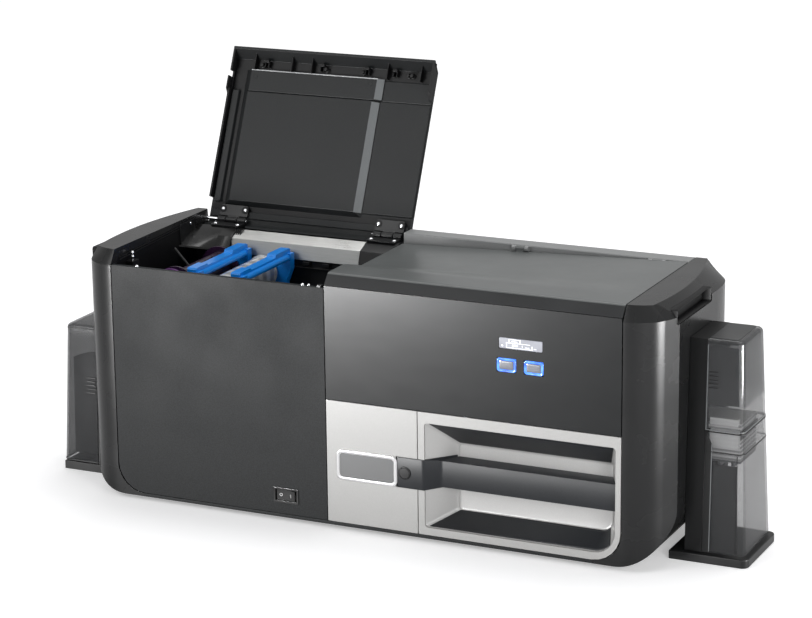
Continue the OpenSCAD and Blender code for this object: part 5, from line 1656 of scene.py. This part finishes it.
    def output_details(self, door: HopperDoor) -> None:
        """Makes the left hopper's inner shade with its arched top, its grip lines and its dark rims.

        Args:
            door: The left hopper's door.
        """
        u = np.linspace(door.inner_u, self.shade_u, 16)
        arch = 139.0 - 9.0 * ((u - door.inner_u) / (self.shade_u - door.inner_u)) ** 2
        outline = np.vstack([np.stack([u, arch], axis=1), [[self.shade_u, 12.0], [door.inner_u, 12.0]]])
        self.shade(door, "output_door_shade", outline)
        self.grips(door, "output_door_grips", PALETTE.foot, (88.0, 4.6, 1.2), 1.5, 0.4)
        rims = Skin()
        self.belt(door, rims, door.z0 + 0.2, 1.2)
        self.belt(door, rims, door.z1 - door.roof_r - 0.6, 0.9, 0.2)
        rims.make("output_door_rims", PALETTE.black, body=BODY_OF[door.node], sharp=40.0)

    def narrow(self, obj: Obj) -> None:
        """Draws the left foot plate in to the door's outline: x and y are clamped to foot_limit.

        Args:
            obj: The dock frame with its foot plate.
        """
        flat = np.empty(3 * len(obj.data.vertices))
        obj.data.vertices.foreach_get("co", flat)
        points = flat.reshape(-1, 3)
        points[:, :2] = np.maximum(points[:, :2], DATUM.metres(np.array([*self.foot_limit, 0.0]))[:2])
        obj.data.vertices.foreach_set("co", flat)

    def build(self) -> None:
        """Makes every piece of the hoppers."""
        upper = HopperDoor("upper_hopper_door", Side.RIGHT, 139.4, 240.0, True, (153.0, 216.0),
                           PALETTE.smoked, clear_z=163.0)
        lower = HopperDoor("lower_hopper_door", Side.RIGHT, 1.8, 138.6, False, (14.0, 115.0),
                           PALETTE.smoked_pale)
        output = HopperDoor("output_hopper_door", Side.LEFT, 1.8, 171.0, True, (14.0, 147.0),
                            PALETTE.smoked_left)
        for door in (upper, lower, output):
            door.build()
        self.input_details(upper, lower)
        self.output_details(output)
        self.narrow(skin_of("output_dock_frame", PALETTE.dock, 0.8))
        for node, finish, edge in (
                ("input_dock_frame", PALETTE.dock, 0.8), ("hopper_base", PALETTE.foot, 1.2),
                ("card_lift_tray", PALETTE.tray, 0.4), ("upper_card_stack", PALETTE.cards, 0.3),
                ("lower_card_stack", PALETTE.cards, 0.3)):
            skin_of(node, finish, edge)
        keep_node("door_pins", PALETTE.steel)


# ---- laminator

@dataclass
class Lid:
    """The open lid, drawn closed and swung open: its rolled shell, and the liner that faces the bay."""

    axis_y: float = 221.5
    axis_z: float = 278.0
    angle: float = 114.0
    x0: float = -270.0
    x1: float = -0.6
    lip_y: float = 8.0
    lip_z: float = 272.2
    slope_d: float = 12.0
    top: float = 287.5
    wall: float = 3.0
    roll_end: float = -20.0
    front: float = 34.5
    step_y: float = 60.5
    back: float = 197.0
    left: float = -244.0
    right: float = -76.0
    face_h: float = 7.0
    side_h: float = 2.6
    slope_w: float = 9.0
    drop: float = 1.3
    ribs: tuple[float, ...] = (-240.0, -190.0, -163.0, -62.0, -18.0)
    hooks: tuple[float, ...] = (-224.0, -149.0, -89.0, -52.0)
    pegs: tuple[float, ...] = (-231.0, -144.0, -95.0, -35.0, -30.0)

    @property
    def under(self) -> float:
        """Height of the shell's inner face."""
        return self.top - self.wall

    def swing(self, skin: Skin) -> Skin:
        """Turns what is drawn closed by the lid's angle round the hinge line.

        Args:
            skin: The closed points; y and z turn together, x stays.

        Returns:
            The same skin, open.
        """
        a = math.radians(self.angle)
        for points in skin.points:
            y, z = points[:, 1] - self.axis_y, points[:, 2] - self.axis_z
            points[:, 1] = self.axis_y + y * math.cos(a) + z * math.sin(a)
            points[:, 2] = self.axis_z - y * math.sin(a) + z * math.cos(a)
        return skin

    def shell(self) -> None:
        """Makes the shell: a sloped lip, a flat top and a back edge rolled round the hinge line."""
        roll_out, roll_in = self.top - self.axis_z, self.under - self.axis_z
        outline = np.vstack([
            [[self.lip_y, self.lip_z], [self.lip_y, self.lip_z + 2.0], [self.lip_y + self.slope_d, self.top]],
            arc(self.axis_y, self.axis_z, roll_out, 90, self.roll_end, 20),
            arc(self.axis_y, self.axis_z, roll_in, self.roll_end, 90, 20),
            [[self.lip_y + self.slope_d + 1.0, self.under], [self.lip_y + 3.0, self.lip_z]]])
        skin = Skin().prism(outline, self.x0, self.x1, Plane.SIDE)
        obj = self.swing(skin).piece("lid_shell_skin", 30.0)
        for x in Hinges.centres:
            tool = Skin().box((x - Hinges.leaf_w / 2 - 1, self.axis_y + 1, self.axis_z - 12),
                              (x + Hinges.leaf_w / 2 + 1, self.axis_y + 12, self.axis_z + 3))
            shape_with(obj, self.swing(tool).piece("cut"), "DIFFERENCE")
        tidy_mesh(obj, 30.0, flatten=True)
        dress(soften(obj, 0.6), PALETTE.lid, ("lid_shell",), "laminator_lid")

    def skirts(self) -> None:
        """Makes the side skirts, the hinge bar, and the ribs, hooks and pegs in the lip's channel."""
        y0, mid, under = self.lip_y + 3.0, self.front - 0.4, self.under
        skin = Skin()
        skin.box((self.x0, 60.0, self.lip_z + 2), (self.x0 + 2.4, 195.5, under + 0.5))
        skin.box((self.x0, self.lip_y + self.slope_d, under - 4.5), (self.x0 + 2.4, 60.5, under + 0.5))
        skin.box((self.x0, y0, self.lip_z), (self.x0 + 2.4, 38.5, under - 4))
        skin.box((self.x1 - 2.4, y0, self.lip_z), (self.x1, 25.0, under - 4))
        corner = [[20.0, under + 0.5], [20.0, under - 11], [48.0, under - 11],
                  [56.0, under - 4], [56.0, under + 0.5]]
        skin.prism(corner, self.x1 - 3.4, self.x1 - 0.2, Plane.SIDE)
        tab = [[45.0, under], [45.0, under - 13], [61.0, under - 13], [67.0, under - 7], [67.0, under]]
        skin.prism(tab, self.x0 - 1.4, self.x0 + 0.4, Plane.SIDE)
        for x in self.ribs:
            rib = [[14.0, under - 8], [21.0, under + 0.5], [mid, under + 0.5], [mid, under - 8]]
            skin.prism(rib, x - 0.6, x + 0.6, Plane.SIDE)
        for x in self.hooks:
            skin.box((x - 3.0, 22.0, under - 6.5), (x - 1.8, 30.0, under + 0.3))
            skin.box((x + 1.8, 22.0, under - 6.5), (x + 3.0, 30.0, under + 0.3))
            skin.box((x - 3.0, 22.0, under - 8.5), (x + 3.0, 25.0, under - 6.5))
        peg = [[AXIS_R, -7.5], [1.9, -7.5], [2.3, -7.0], [2.3, -3.0], [3.2, -2.6], [3.2, 0.4], [AXIS_R, 0.4]]
        for x in self.pegs:
            skin.lathe(peg, (x, 27.5, under), (0, 0, 1), 20)
        self.swing(skin).make("lid_skirts", PALETTE.black, body="laminator_lid", sharp=30.0, edge=0.25)

    def raised(self, skin: Skin, low: Floats, high: Floats, height: float,
               slopes: Floats) -> None:
        """Adds a flat-faced block whose sides slope out to the shell.

        Args:
            skin: Where it goes.
            low: Lowest X and Y of the face.
            high: Highest X and Y of the face.
            height: How far the face stands off the shell.
            slopes: How far the base reaches past the face: left, right, front, back.
        """
        (x0, y0), (x1, y1) = low, high
        a, b, c, d = slopes
        levels = ((x0 - a, y0 - c, x1 + b, y1 + d, self.under + 0.3), (x0, y0, x1, y1, self.under - height))
        skin.loft([np.array([[u0, v0, z], [u1, v0, z], [u1, v1, z], [u0, v1, z]])
                   for u0, v0, u1, v1, z in levels])

    def liner(self) -> None:
        """Makes the liner: a tall left panel and a low right one, each with a step across near the front."""
        drop = self.drop
        skin = Skin()
        w = self.slope_w
        self.raised(skin, (self.left, self.step_y + 1.2), (self.right, self.back), self.face_h,
                    (w, w, 1.2, 6.0))
        self.raised(skin, (self.left, self.front), (self.right + 1.5, self.step_y), self.face_h - drop,
                    (w, w, 0.0, 0.6))
        side_x = self.right + w
        self.raised(skin, (side_x, self.step_y + 0.8), (self.x1 - 1.0, 197.0), self.side_h,
                    (2.0, 0.4, 0.8, 0.8))
        self.raised(skin, (side_x + 1.0, self.front + 1.0), (self.x1 - 1.0, self.step_y), self.side_h - 1.1,
                    (2.0, 0.4, 0.0, 0.4))
        self.raised(skin, (self.x0 + 4.0, self.step_y), (self.left - w - 4.5, 199.0), 4.4,
                    (0.5, 1.5, 0.5, 0.5))
        skin.box((self.x0 + 3, 209.0, self.axis_z + 4), (self.x1 - 3, 217.5, self.under + 0.5))
        obj = self.swing(skin).piece("lid_liner", 20.0)
        dress(soften(obj, 0.7, 3, 12.0), PALETTE.lid, ("lid_inner_panel",),
              "laminator_lid")
        marks = Skin()
        ring = [[2.6, -0.25], [3.4, -0.25], [3.4, 0.2], [2.6, 0.2]]
        for x, y in ((-238.0, 42.7), (-83.0, 40.5)):
            rings = hoop(ring, (x, y, self.under - self.face_h + drop), 32)
            marks.ring(rings)
        self.swing(marks).make("lid_liner_rings", PALETTE.lid, body="laminator_lid", sharp=30.0)

    def painted_light_pieces(self) -> None:
        """Makes painted light on the liner: a painted highlight on the front edge of its raised panel, light
        grey on its lit sloped sides, and black sheets of painted shade in each gap round it.
        """
        face, low = self.under - self.face_h, self.under - self.side_h
        drop, w = self.drop, self.slope_w
        # Painted highlight: a light grey band on the front face of the raised panel.
        edge = Skin().box((self.left, self.front - 0.7, face + drop - 0.35),
                          (self.right + 2.5, self.front + 0.5, self.under - 2.0))
        self.swing(edge).make("lid_front_painted_highlight", PALETTE.lid_painted_highlight, "charcoal", body="laminator_lid", edge=0.2)
        # Painted light: light grey down the sloped sides, standing in for the light they catch.
        slope_light = Skin()
        for y0, y1, x, z in ((self.step_y + 2.2, self.back + 0.5, self.right, face),
                             (self.front - 0.4, self.step_y - 1.0, self.right + 1.8, face + drop)):
            line = [[x - 0.4, z - 0.3], [x + w - 0.6, low - 0.5],
                    [x + w - 0.6, low + 0.6], [x - 0.4, z + 0.9]]
            slope_light.prism(line, y0, y1)
        self.swing(slope_light).make("lid_slope_painted_light", PALETTE.edge_painted_light, "charcoal", body="laminator_lid",
                                edge=0.2)
        # Painted shade: black sheets in the openings round the liner, where shade falls.
        gap_shade = Skin()
        for low_corner, high_corner in (((self.x0 + 3, self.back + 3.0), (self.x1 - 3, 210.5)),
                                        ((self.x0 + 3, self.lip_y + 14.0), (self.x1 - 3, self.front + 0.2)),
                                        ((self.x0 + 3, self.front), (self.left - w + 1.0, self.back))):
            gap_shade.box((*low_corner, self.under - 0.5), (*high_corner, self.under + 0.2))
        self.swing(gap_shade).make("lid_gaps_painted_shade", PALETTE.black, body="laminator_lid")

    def build(self) -> None:
        """Makes every piece of the lid."""
        self.shell()
        self.skirts()
        self.liner()
        self.painted_light_pieces()


@dataclass
class Hinges:
    """The lid's two hinges: a leaf on the lid with one knuckle, and a leaf on the bracket with two."""

    lid: Lid
    centres: ClassVar[Pair] = (-235.0, -26.6)
    leaf_w: ClassVar[float] = 38.0
    knuckle_r: float = 4.0
    lid_knuckle: float = 15.0
    gap: float = 0.5
    screw_x: float = 15.0
    leaf_z: float = 274.0
    leaf_t: float = 2.4
    screw_r: float = 2.7
    flange_z: float = 271.0
    flange_screws: tuple[Triple, ...] = ((-241.0, 5.2, 2.3), (-28.5, 5.3, 2.2), (-21.0, 5.8, 1.8))
    catch: Pair = (-268.0, 41.4)
    wall_screw: Triple = (-271.4, 184.7, 279.2)

    def knuckle(self, skin: Skin, x0: float, x1: float) -> None:
        """Adds a barrel with rounded ends on the hinge line.

        Args:
            skin: Where it goes.
            x0: Its left end.
            x1: Its right end.
        """
        r = self.knuckle_r
        profile = [[AXIS_R, 0.0], [r - 0.5, 0.0], [r, 0.5], [r, x1 - x0 - 0.5], [r - 0.5, x1 - x0],
                   [AXIS_R, x1 - x0]]
        skin.lathe(profile, (x0, self.lid.axis_y, self.lid.axis_z), (1, 0, 0), 28)

    def dome(self, skin: Skin, centre: Floats, way: float, height: float, r: float) -> None:
        """Adds a domed screw head: radius r cos a, height h sin a.

        Args:
            skin: Where it goes.
            centre: Middle of its foot.
            way: 1 upwards, -1 downwards.
            height: Its height h.
            r: Its radius.
        """
        a = np.radians(np.linspace(0.0, 88.0, 8))
        cap = np.stack([r * np.cos(a), height * np.sin(a)], axis=1)
        skin.lathe(np.vstack([[[AXIS_R, -0.6], [r, -0.6]], cap]), centre, (0, 0, way), 24)

    def lid_leaves(self) -> None:
        """Makes the leaves, washers and screws that swing with the lid."""
        y, half, low = self.lid.axis_y, self.leaf_w / 2, self.lid.axis_z + 1.2
        leaves, washers, screws = Skin(), Skin(), Skin()
        ring = [[2.0, 0.0], [4.0, 0.0], [4.5, -0.25], [4.5, -0.5], [2.0, -0.5]]
        for x in self.centres:
            plate = rounded_rect(x - half, y - 19.0, x + half, y - 5.2, (4.0, 4.0, 1.0, 1.0))
            leaves.prism(plate, low, low + 2.8, Plane.PLAN)
            boss = rounded_rect(x - 8.0, y - 16.0, x + 8.0, y, (1.5,) * 4)
            leaves.prism(boss, low + 0.2, low + 2.8, Plane.PLAN)
            self.knuckle(leaves, x - self.lid_knuckle / 2, x + self.lid_knuckle / 2)
            for side in (-1, 1):
                centre = np.array([x + side * self.screw_x, y - 13.5, low])
                washers.ring(hoop(ring, centre, 28))
                self.dome(screws, centre, -1.0, 0.9, self.screw_r - 0.2)
        self.lid.swing(leaves).make("lid_leaves_skin", PALETTE.frame_black, "black_plastic",
                                    ("lid_hinge_leaves",), body="laminator_lid", sharp=32.0, edge=0.5)
        self.lid.swing(washers).make("lid_washers", PALETTE.black, body="laminator_lid", sharp=32.0)
        self.lid.swing(screws).make("lid_screws_skin", PALETTE.steel, SLOT_OF["lid_screws"], ("lid_screws",),
                                    body="laminator_lid")

    def fixed_leaves(self) -> None:
        """Makes the leaves that stay on the brackets."""
        y, half = self.lid.axis_y, self.leaf_w / 2
        inner = self.lid_knuckle / 2 + self.gap
        skin = Skin()
        for x in self.centres:
            plate = rounded_rect(x - half, y - 21.0, x + half, y - 5.5, (3.0, 3.0, 0.6, 0.6))
            skin.prism(plate, self.leaf_z, self.leaf_z + self.leaf_t, Plane.PLAN)
            for x0, x1 in ((x - half, x - inner), (x + inner, x + half)):
                self.knuckle(skin, x0, x1)
                skin.box((x0, y - 6.0, self.leaf_z), (x1, y, self.leaf_z + 2.2))
        skin.make("fixed_leaves_skin", PALETTE.frame_black, "black_plastic", ("fixed_hinge_leaves",),
                  sharp=32.0, edge=0.5)

    def screws(self) -> None:
        """Makes the bright screws of the frame: on the leaves, on the cover's flange and on the left wall."""
        y, z = self.lid.axis_y - 14.0, self.leaf_z + self.leaf_t
        skin = Skin()
        for x in self.centres:
            for side in (-1, 1):
                self.dome(skin, (x + side * self.screw_x, y, z), 1.0, 1.4, self.screw_r)
        for x, screw_y, r in self.flange_screws:
            self.dome(skin, (x, screw_y, self.flange_z), 1.0, 1.8, r)
        a = np.radians(np.linspace(-80.0, 80.0, 13))
        ball = np.stack([2.3 * np.cos(a), 2.3 * np.sin(a)], axis=1)
        for dz in (271.8, 276.2):
            skin.lathe(ball, (*self.catch, dz), (0, 0, 1), 20)
        skin.lathe(rod(1.3, 0.0, 8.0), (*self.catch, 267.5), (0, 0, 1), 16)
        wall_screw = [[AXIS_R, -0.5], [1.9, -0.5], [1.9, 0.3], [1.2, 1.0], [AXIS_R, 1.2]]
        skin.lathe(wall_screw, self.wall_screw, (1, 0, 0), 20)
        skin.make("frame_screws_skin", PALETTE.steel, SLOT_OF["frame_screws"], ("frame_screws",))

    def build(self) -> None:
        """Makes both hinges and the screws."""
        self.lid_leaves()
        self.fixed_leaves()
        self.screws()


@dataclass
class Bay:
    """The open bay: wall lining, shelf over the rail, back wall, posts and small fittings."""

    wall_x: float = -273.15
    shelf_x0: float = -272.9
    shelf_x1: float = -216.0
    back_y: float = 183.0
    back_z0: float = 211.8
    back_z1: float = 249.0
    rail_crest: float = 267.4

    def lining(self) -> None:
        """Makes the black lining of the left wall, with two beads along its top and a screwed plate."""
        skin = Skin()
        outline = [[12.0, 115.0], [200.0, 115.0], [200.0, 283.0], [20.0, 277.0], [12.0, 269.0]]
        skin.prism(outline, self.wall_x - 0.05, self.wall_x + 0.2, Plane.SIDE)
        skin.make("bay_wall_lining", PALETTE.black)
        fittings = Skin()
        for drop in (2.2, 5.0):
            bead = [[20.0, 277.0 - drop], [200.0, 283.0 - drop], [200.0, 284.0 - drop], [20.0, 278.0 - drop]]
            fittings.prism(bead, self.wall_x + 0.15, self.wall_x + 0.9, Plane.SIDE)
        plate = rounded_rect(160.0, 259.0, 196.0, 282.5, (2.0,) * 4, 4)
        fittings.prism(plate, self.wall_x + 0.1, self.wall_x + 1.6, Plane.SIDE)
        fittings.box((self.wall_x + 0.1, 35.0, 258.0), (-263.5, 48.0, 267.6))
        latch = rounded_rect(-9.5, 1.0, -3.5, 7.6, (1.0,) * 4, 4)
        fittings.prism(latch, 270.6, 273.4, Plane.PLAN)
        fittings.make("bay_fittings", PALETTE.frame_black, edge=0.3)

    def shelf(self) -> None:
        """Makes the glossy shelf over the rail: straight lines from its left profile to its right one."""
        lines = (((157.0, 256.0), (157.5, 258.0), (184.0, self.rail_crest), (203.2, 274.2)),
                 ((177.4, 250.0), (177.9, 252.6), (184.0, self.rail_crest), (203.2, 274.2)))
        ends = zip((self.shelf_x0, self.shelf_x1), lines)
        left, right = (np.array([[x, y, z] for y, z in line]) for x, line in ends)
        u = np.linspace(0.0, 1.0, 14)[:, None, None]
        obj = thicken(Skin().grid((1 - u) * left + u * right).piece("bay_shelf", 40.0), 1.0)
        dress(soften(obj, 0.3, 2), PALETTE.shelf)
        skin = Skin()
        gusset = [[203.0, 274.0], [196.5, 274.0], [189.0, 266.0],
                  [188.0, 256.5], [192.0, 256.0], [203.0, 266.0]]
        for k in range(4):
            skin.prism(gusset, self.shelf_x1 - 1.0 + 2.6 * k, self.shelf_x1 + 0.4 + 2.6 * k, Plane.SIDE)
        skin.box((self.shelf_x1 - 1.0, 196.5, 272.4), (self.shelf_x1 + 8.4, 203.0, 274.0))
        skin.make("hinge_gussets", PALETTE.frame_black, edge=0.25)

    def back_wall(self) -> None:
        """Makes the wall behind the cartridges, with ribs and clips on its front."""
        y, z = self.back_y, self.back_z1
        skin = Skin().box((-262.0, y, self.back_z0), (-50.0, y + 3.0, z))
        skin.box((-176.0, y - 5.0, z - 9.0), (-50.0, y + 0.2, z - 7.8))
        for x in (-150.0, -118.0, -92.0):
            skin.box((x, y - 5.0, z - 6.0), (x + 9.0, y + 0.2, z - 1.5))
        skin.make("bay_back_wall", PALETTE.frame_black, edge=0.3)
        strut = np.linspace([-258.0, 121.0, 264.0], [-234.0, 119.0, 240.5], 6)
        Skin().tube(strut, 1.7, 12).make("bay_strut", PALETTE.frame_black)
        end = [[AXIS_R, 0.0], [24.6, 0.0], [25.0, 0.4], [25.0, 2.0], [AXIS_R, 2.0]]
        Skin().lathe(end, (-221.0, 47.4, 235.0), (0, 1, 0), 48).make("film_end_disc", PALETTE.film_end,
            SLOT_OF["film_spool_1"], body=BODY_OF["film_spool_1"])

    def build(self) -> None:
        """Makes every fitting of the bay."""
        self.lining()
        self.shelf()
        self.back_wall()


@dataclass
class Rail:
    """The rail under the lid's hinges: bright aluminium, with its left end under the shelf in black."""

    x0: float = -272.9
    split: float = -216.0
    x1: float = -45.6
    profile: tuple[Pair, ...] = (
        (203.0, 273.0), (185.0, 266.0), (180.0, 249.0), (185.0, 249.0), (185.0, 251.0), (182.3, 251.0),
        (186.4, 264.5), (203.0, 271.0))
    crease: float = 266.0

    def length(self, name: str, x0: float, x1: float) -> Obj:
        """A length of the rail's profile."""
        return soften(Skin().prism(self.profile, x0, x1, Plane.SIDE).piece(name, 20.0), 0.35, 2)

    def build(self) -> None:
        """Makes both lengths; the bright one's front face gets a darker copy of the aluminium, painted shade.
        """
        bright = self.length("rail_bright", self.split, self.x1)
        dress(bright, PALETTE.rail, ("cross_rail",))
        finish_below(bright, PALETTE.rail_face_painted_shade, 2, self.crease - 0.6)
        dress(self.length("rail_dark", self.x0, self.split), PALETTE.frame_black)


@dataclass
class Laminator:
    """The laminator's works: rail, brackets, cartridges, rollers and frames."""

    def build(self) -> None:
        """Makes the lid, its hinges and the bay, and dresses the CAD pieces of the works."""
        lid = Lid()
        lid.build()
        Hinges(lid).build()
        Bay().build()
        Rail().build()
        for node, finish, edge in (
                ("hinge_brackets", PALETTE.frame_black, 0.5),
                ("film_cartridge_1", PALETTE.blue, 0.7), ("film_cartridge_2", PALETTE.blue, 0.7),
                ("laminator_frame", PALETTE.black, 0.4), ("centre_divider", PALETTE.frame_black, 0.3),
                ("mechanism_deck", PALETTE.black, 0.4), ("film_spool_1", PALETTE.film, 0.4),
                ("film_spool_2", PALETTE.clear_film, 0.4), ("takeup_spool_1", PALETTE.clear_film, 0.3),
                ("takeup_spool_2", PALETTE.clear_film, 0.3), ("upper_lam_roller", PALETTE.red_roller, 0.2),
                ("lower_lam_roller", PALETTE.roller, 0.2)):
            skin_of(node, finish, edge, 2)
        skin_of("hinge_pins", PALETTE.steel, 0.15, 2)


@dataclass
class Interior:
    """What the printer side holds, and the back and the base."""

    def build(self) -> None:
        """Dresses the remaining CAD pieces."""
        for node, finish, edge in (
                ("base_tray", PALETTE.cover, 0.6), ("rubber_feet", PALETTE.rubber, 0.8),
                ("rear_panel", PALETTE.cover, 0.5), ("rear_top_strip", PALETTE.strip, 0.5),
                ("rear_sockets", PALETTE.black, 0.3), ("printer_frame", PALETTE.plate, 0.3),
                ("print_head", PALETTE.plate, 0.5), ("platen_roller", PALETTE.roller, 0.3),
                ("ribbon_supply_spool", PALETTE.ribbon, 0.4),
                ("ribbon_takeup_spool", PALETTE.used_ribbon, 0.4)):
            skin_of(node, finish, edge, 2)
        keep_node("cover_hinge_pins", PALETTE.steel)


# ---- studio

@dataclass(frozen=True)
class SoftBox:
    """A rectangular studio lamp that looks at a point; a gleam lamp is only mirrored and lights nothing."""

    name: str
    place: Triple
    target: Triple
    size: Pair
    power: float
    gleam: bool = False

    def build(self) -> None:
        """Makes the lamp."""
        data = bpy.data.lights.new(self.name, "AREA")
        data.shape = "RECTANGLE"
        data.size, data.size_y = self.size
        data.energy = self.power
        obj = add_object(self.name, data)
        obj.location = self.place
        aim = Vector(self.target) - Vector(self.place)
        obj.rotation_mode = "QUATERNION"
        obj.rotation_quaternion = aim.to_track_quat("-Z", "Y")
        obj.visible_camera = False
        obj.visible_diffuse = not self.gleam


@dataclass
class Studio:
    """Floor, world, lamps and camera."""

    position: Triple = (1.3030, -2.7841, 1.0641)
    yaw: float = 25.29
    pitch: float = 15.31
    roll: float = -0.68
    lens: float = 122.57
    world_light: float = 0.36
    near_lift: float = 0.36
    far_lift: float = 0.66
    mirrored: float = 0.4
    near: float = 0.7
    far: float = 2.6
    floor_colour: Four = (0.86, 0.86, 0.87, 1.0)
    floor_half: float = 20.0
    lamps: tuple[SoftBox, ...] = (
        SoftBox("key", (-1.3, -1.9, 1.9), (0.0, 0.0, 0.15), (1.3, 1.1), 19.0),
        SoftBox("top", (0.1, 0.6, 2.3), (0.0, 0.0, 0.2), (2.2, 1.2), 34.0),
        SoftBox("front_low", (-0.80, -1.45, 0.14), (0.05, -0.15, 0.2), (0.6, 0.24), 74.0, True),
        SoftBox("right_low", (1.32, -0.12, 0.16), (0.3, -0.05, 0.15), (0.4, 0.3), 28.0, True),
        SoftBox("right_fill", (1.2, -1.2, 0.5), (0.35, -0.05, 0.15), (0.5, 0.5), 10.0),
    )

    def floor(self) -> None:
        """A plain white floor that keeps the shadow and shows white where it is unshadowed."""
        h = self.floor_half
        mesh = bpy.data.meshes.new("floor")
        mesh.from_pydata([(-h, -h, 0), (h, -h, 0), (h, h, 0), (-h, h, 0)], [], [(0, 1, 2, 3)])
        obj = add_object("floor", mesh)
        material = bpy.data.materials.new("floor_white")
        material.use_nodes = True
        n = Nodes(material.node_tree)
        reach = n.node("VectorMath", {0: n.node("TexCoord").outputs["Object"]}, operation="LENGTH")
        lift = n.node("MapRange", {0: reach.outputs["Value"], 1: self.near, 2: self.far, 3: self.near_lift,
                                   4: self.far_lift}, interpolation_type="SMOOTHSTEP")
        glow = n.node("Emission", {"Strength": n.math("MULTIPLY", self.seen(n), lift.outputs[0])})
        diffuse = n.node("BsdfDiffuse", {"Color": self.floor_colour})
        both = n.node("AddShader", {0: diffuse.outputs[0], 1: glow.outputs[0]})
        n.node("OutputMaterial", {"Surface": both.outputs[0]})
        mesh.materials.append(material)

    def seen(self, n: Nodes) -> Socket:
        """A factor of 1 for camera and transmission rays, and less for what is mirrored.

        Args:
            n: The tree it is made in.

        Returns:
            The factor.
        """
        path = n.node("LightPath").outputs
        total = path["Is Camera Ray"]
        for name, share in (("Is Glossy Ray", self.mirrored), ("Is Transmission Ray", 1.0)):
            total = n.math("MAXIMUM", total, n.math("MULTIPLY", path[name], share))
        return total

    def world(self) -> None:
        """A white surround for what is seen, and an even soft light for the rest."""
        world = bpy.data.worlds.new("studio")
        bpy.context.scene.world = world
        world.use_nodes = True
        n = Nodes(world.node_tree, clear=False)
        back = n.tree.nodes["Background"]
        back.inputs["Color"].default_value = (1.0, 1.0, 1.0, 1.0)
        light = n.node("MapRange", {0: self.seen(n), 3: self.world_light, 4: 1.0})
        n.tree.links.new(light.outputs[0], back.inputs["Strength"])

    def camera(self) -> None:
        """The camera, turned by yaw, pitch and roll."""
        yaw, pitch, roll = (math.radians(a) for a in (self.yaw, self.pitch, self.roll))
        flat = math.cos(pitch)
        forward = Vector((-math.sin(yaw) * flat, math.cos(yaw) * flat, -math.sin(pitch)))
        right = Vector((math.cos(yaw), math.sin(yaw), 0.0))
        up = right.cross(forward)
        x_axis = right * math.cos(roll) + up * math.sin(roll)
        y_axis = up * math.cos(roll) - right * math.sin(roll)
        data = bpy.data.cameras.new("camera")
        data.lens = self.lens
        data.sensor_width = 36.0
        data.clip_start, data.clip_end = 0.05, 60.0
        obj = add_object("camera", data)
        turn = Matrix((x_axis, y_axis, -forward)).transposed()
        obj.matrix_world = Matrix.Translation(self.position) @ turn.to_4x4()
        bpy.context.scene.camera = obj

    def build(self) -> None:
        """Makes the studio."""
        self.camera()
        self.world()
        self.floor()
        for lamp in self.lamps:
            lamp.build()
        bpy.context.scene.view_settings.view_transform = "Standard"


def main() -> None:
    """Builds the studio and every sub-assembly in order."""
    logging.basicConfig(level=logging.INFO, format="%(name)s: %(message)s")
    Studio().build()
    for side in Side:
        EndCap.at(side).build()
    PrinterCover().build()
    FrontPanels().build()
    FrontRecess().build()
    Hoppers().build()
    Laminator().build()
    Interior().build()


if __name__ == "__main__":
    main()
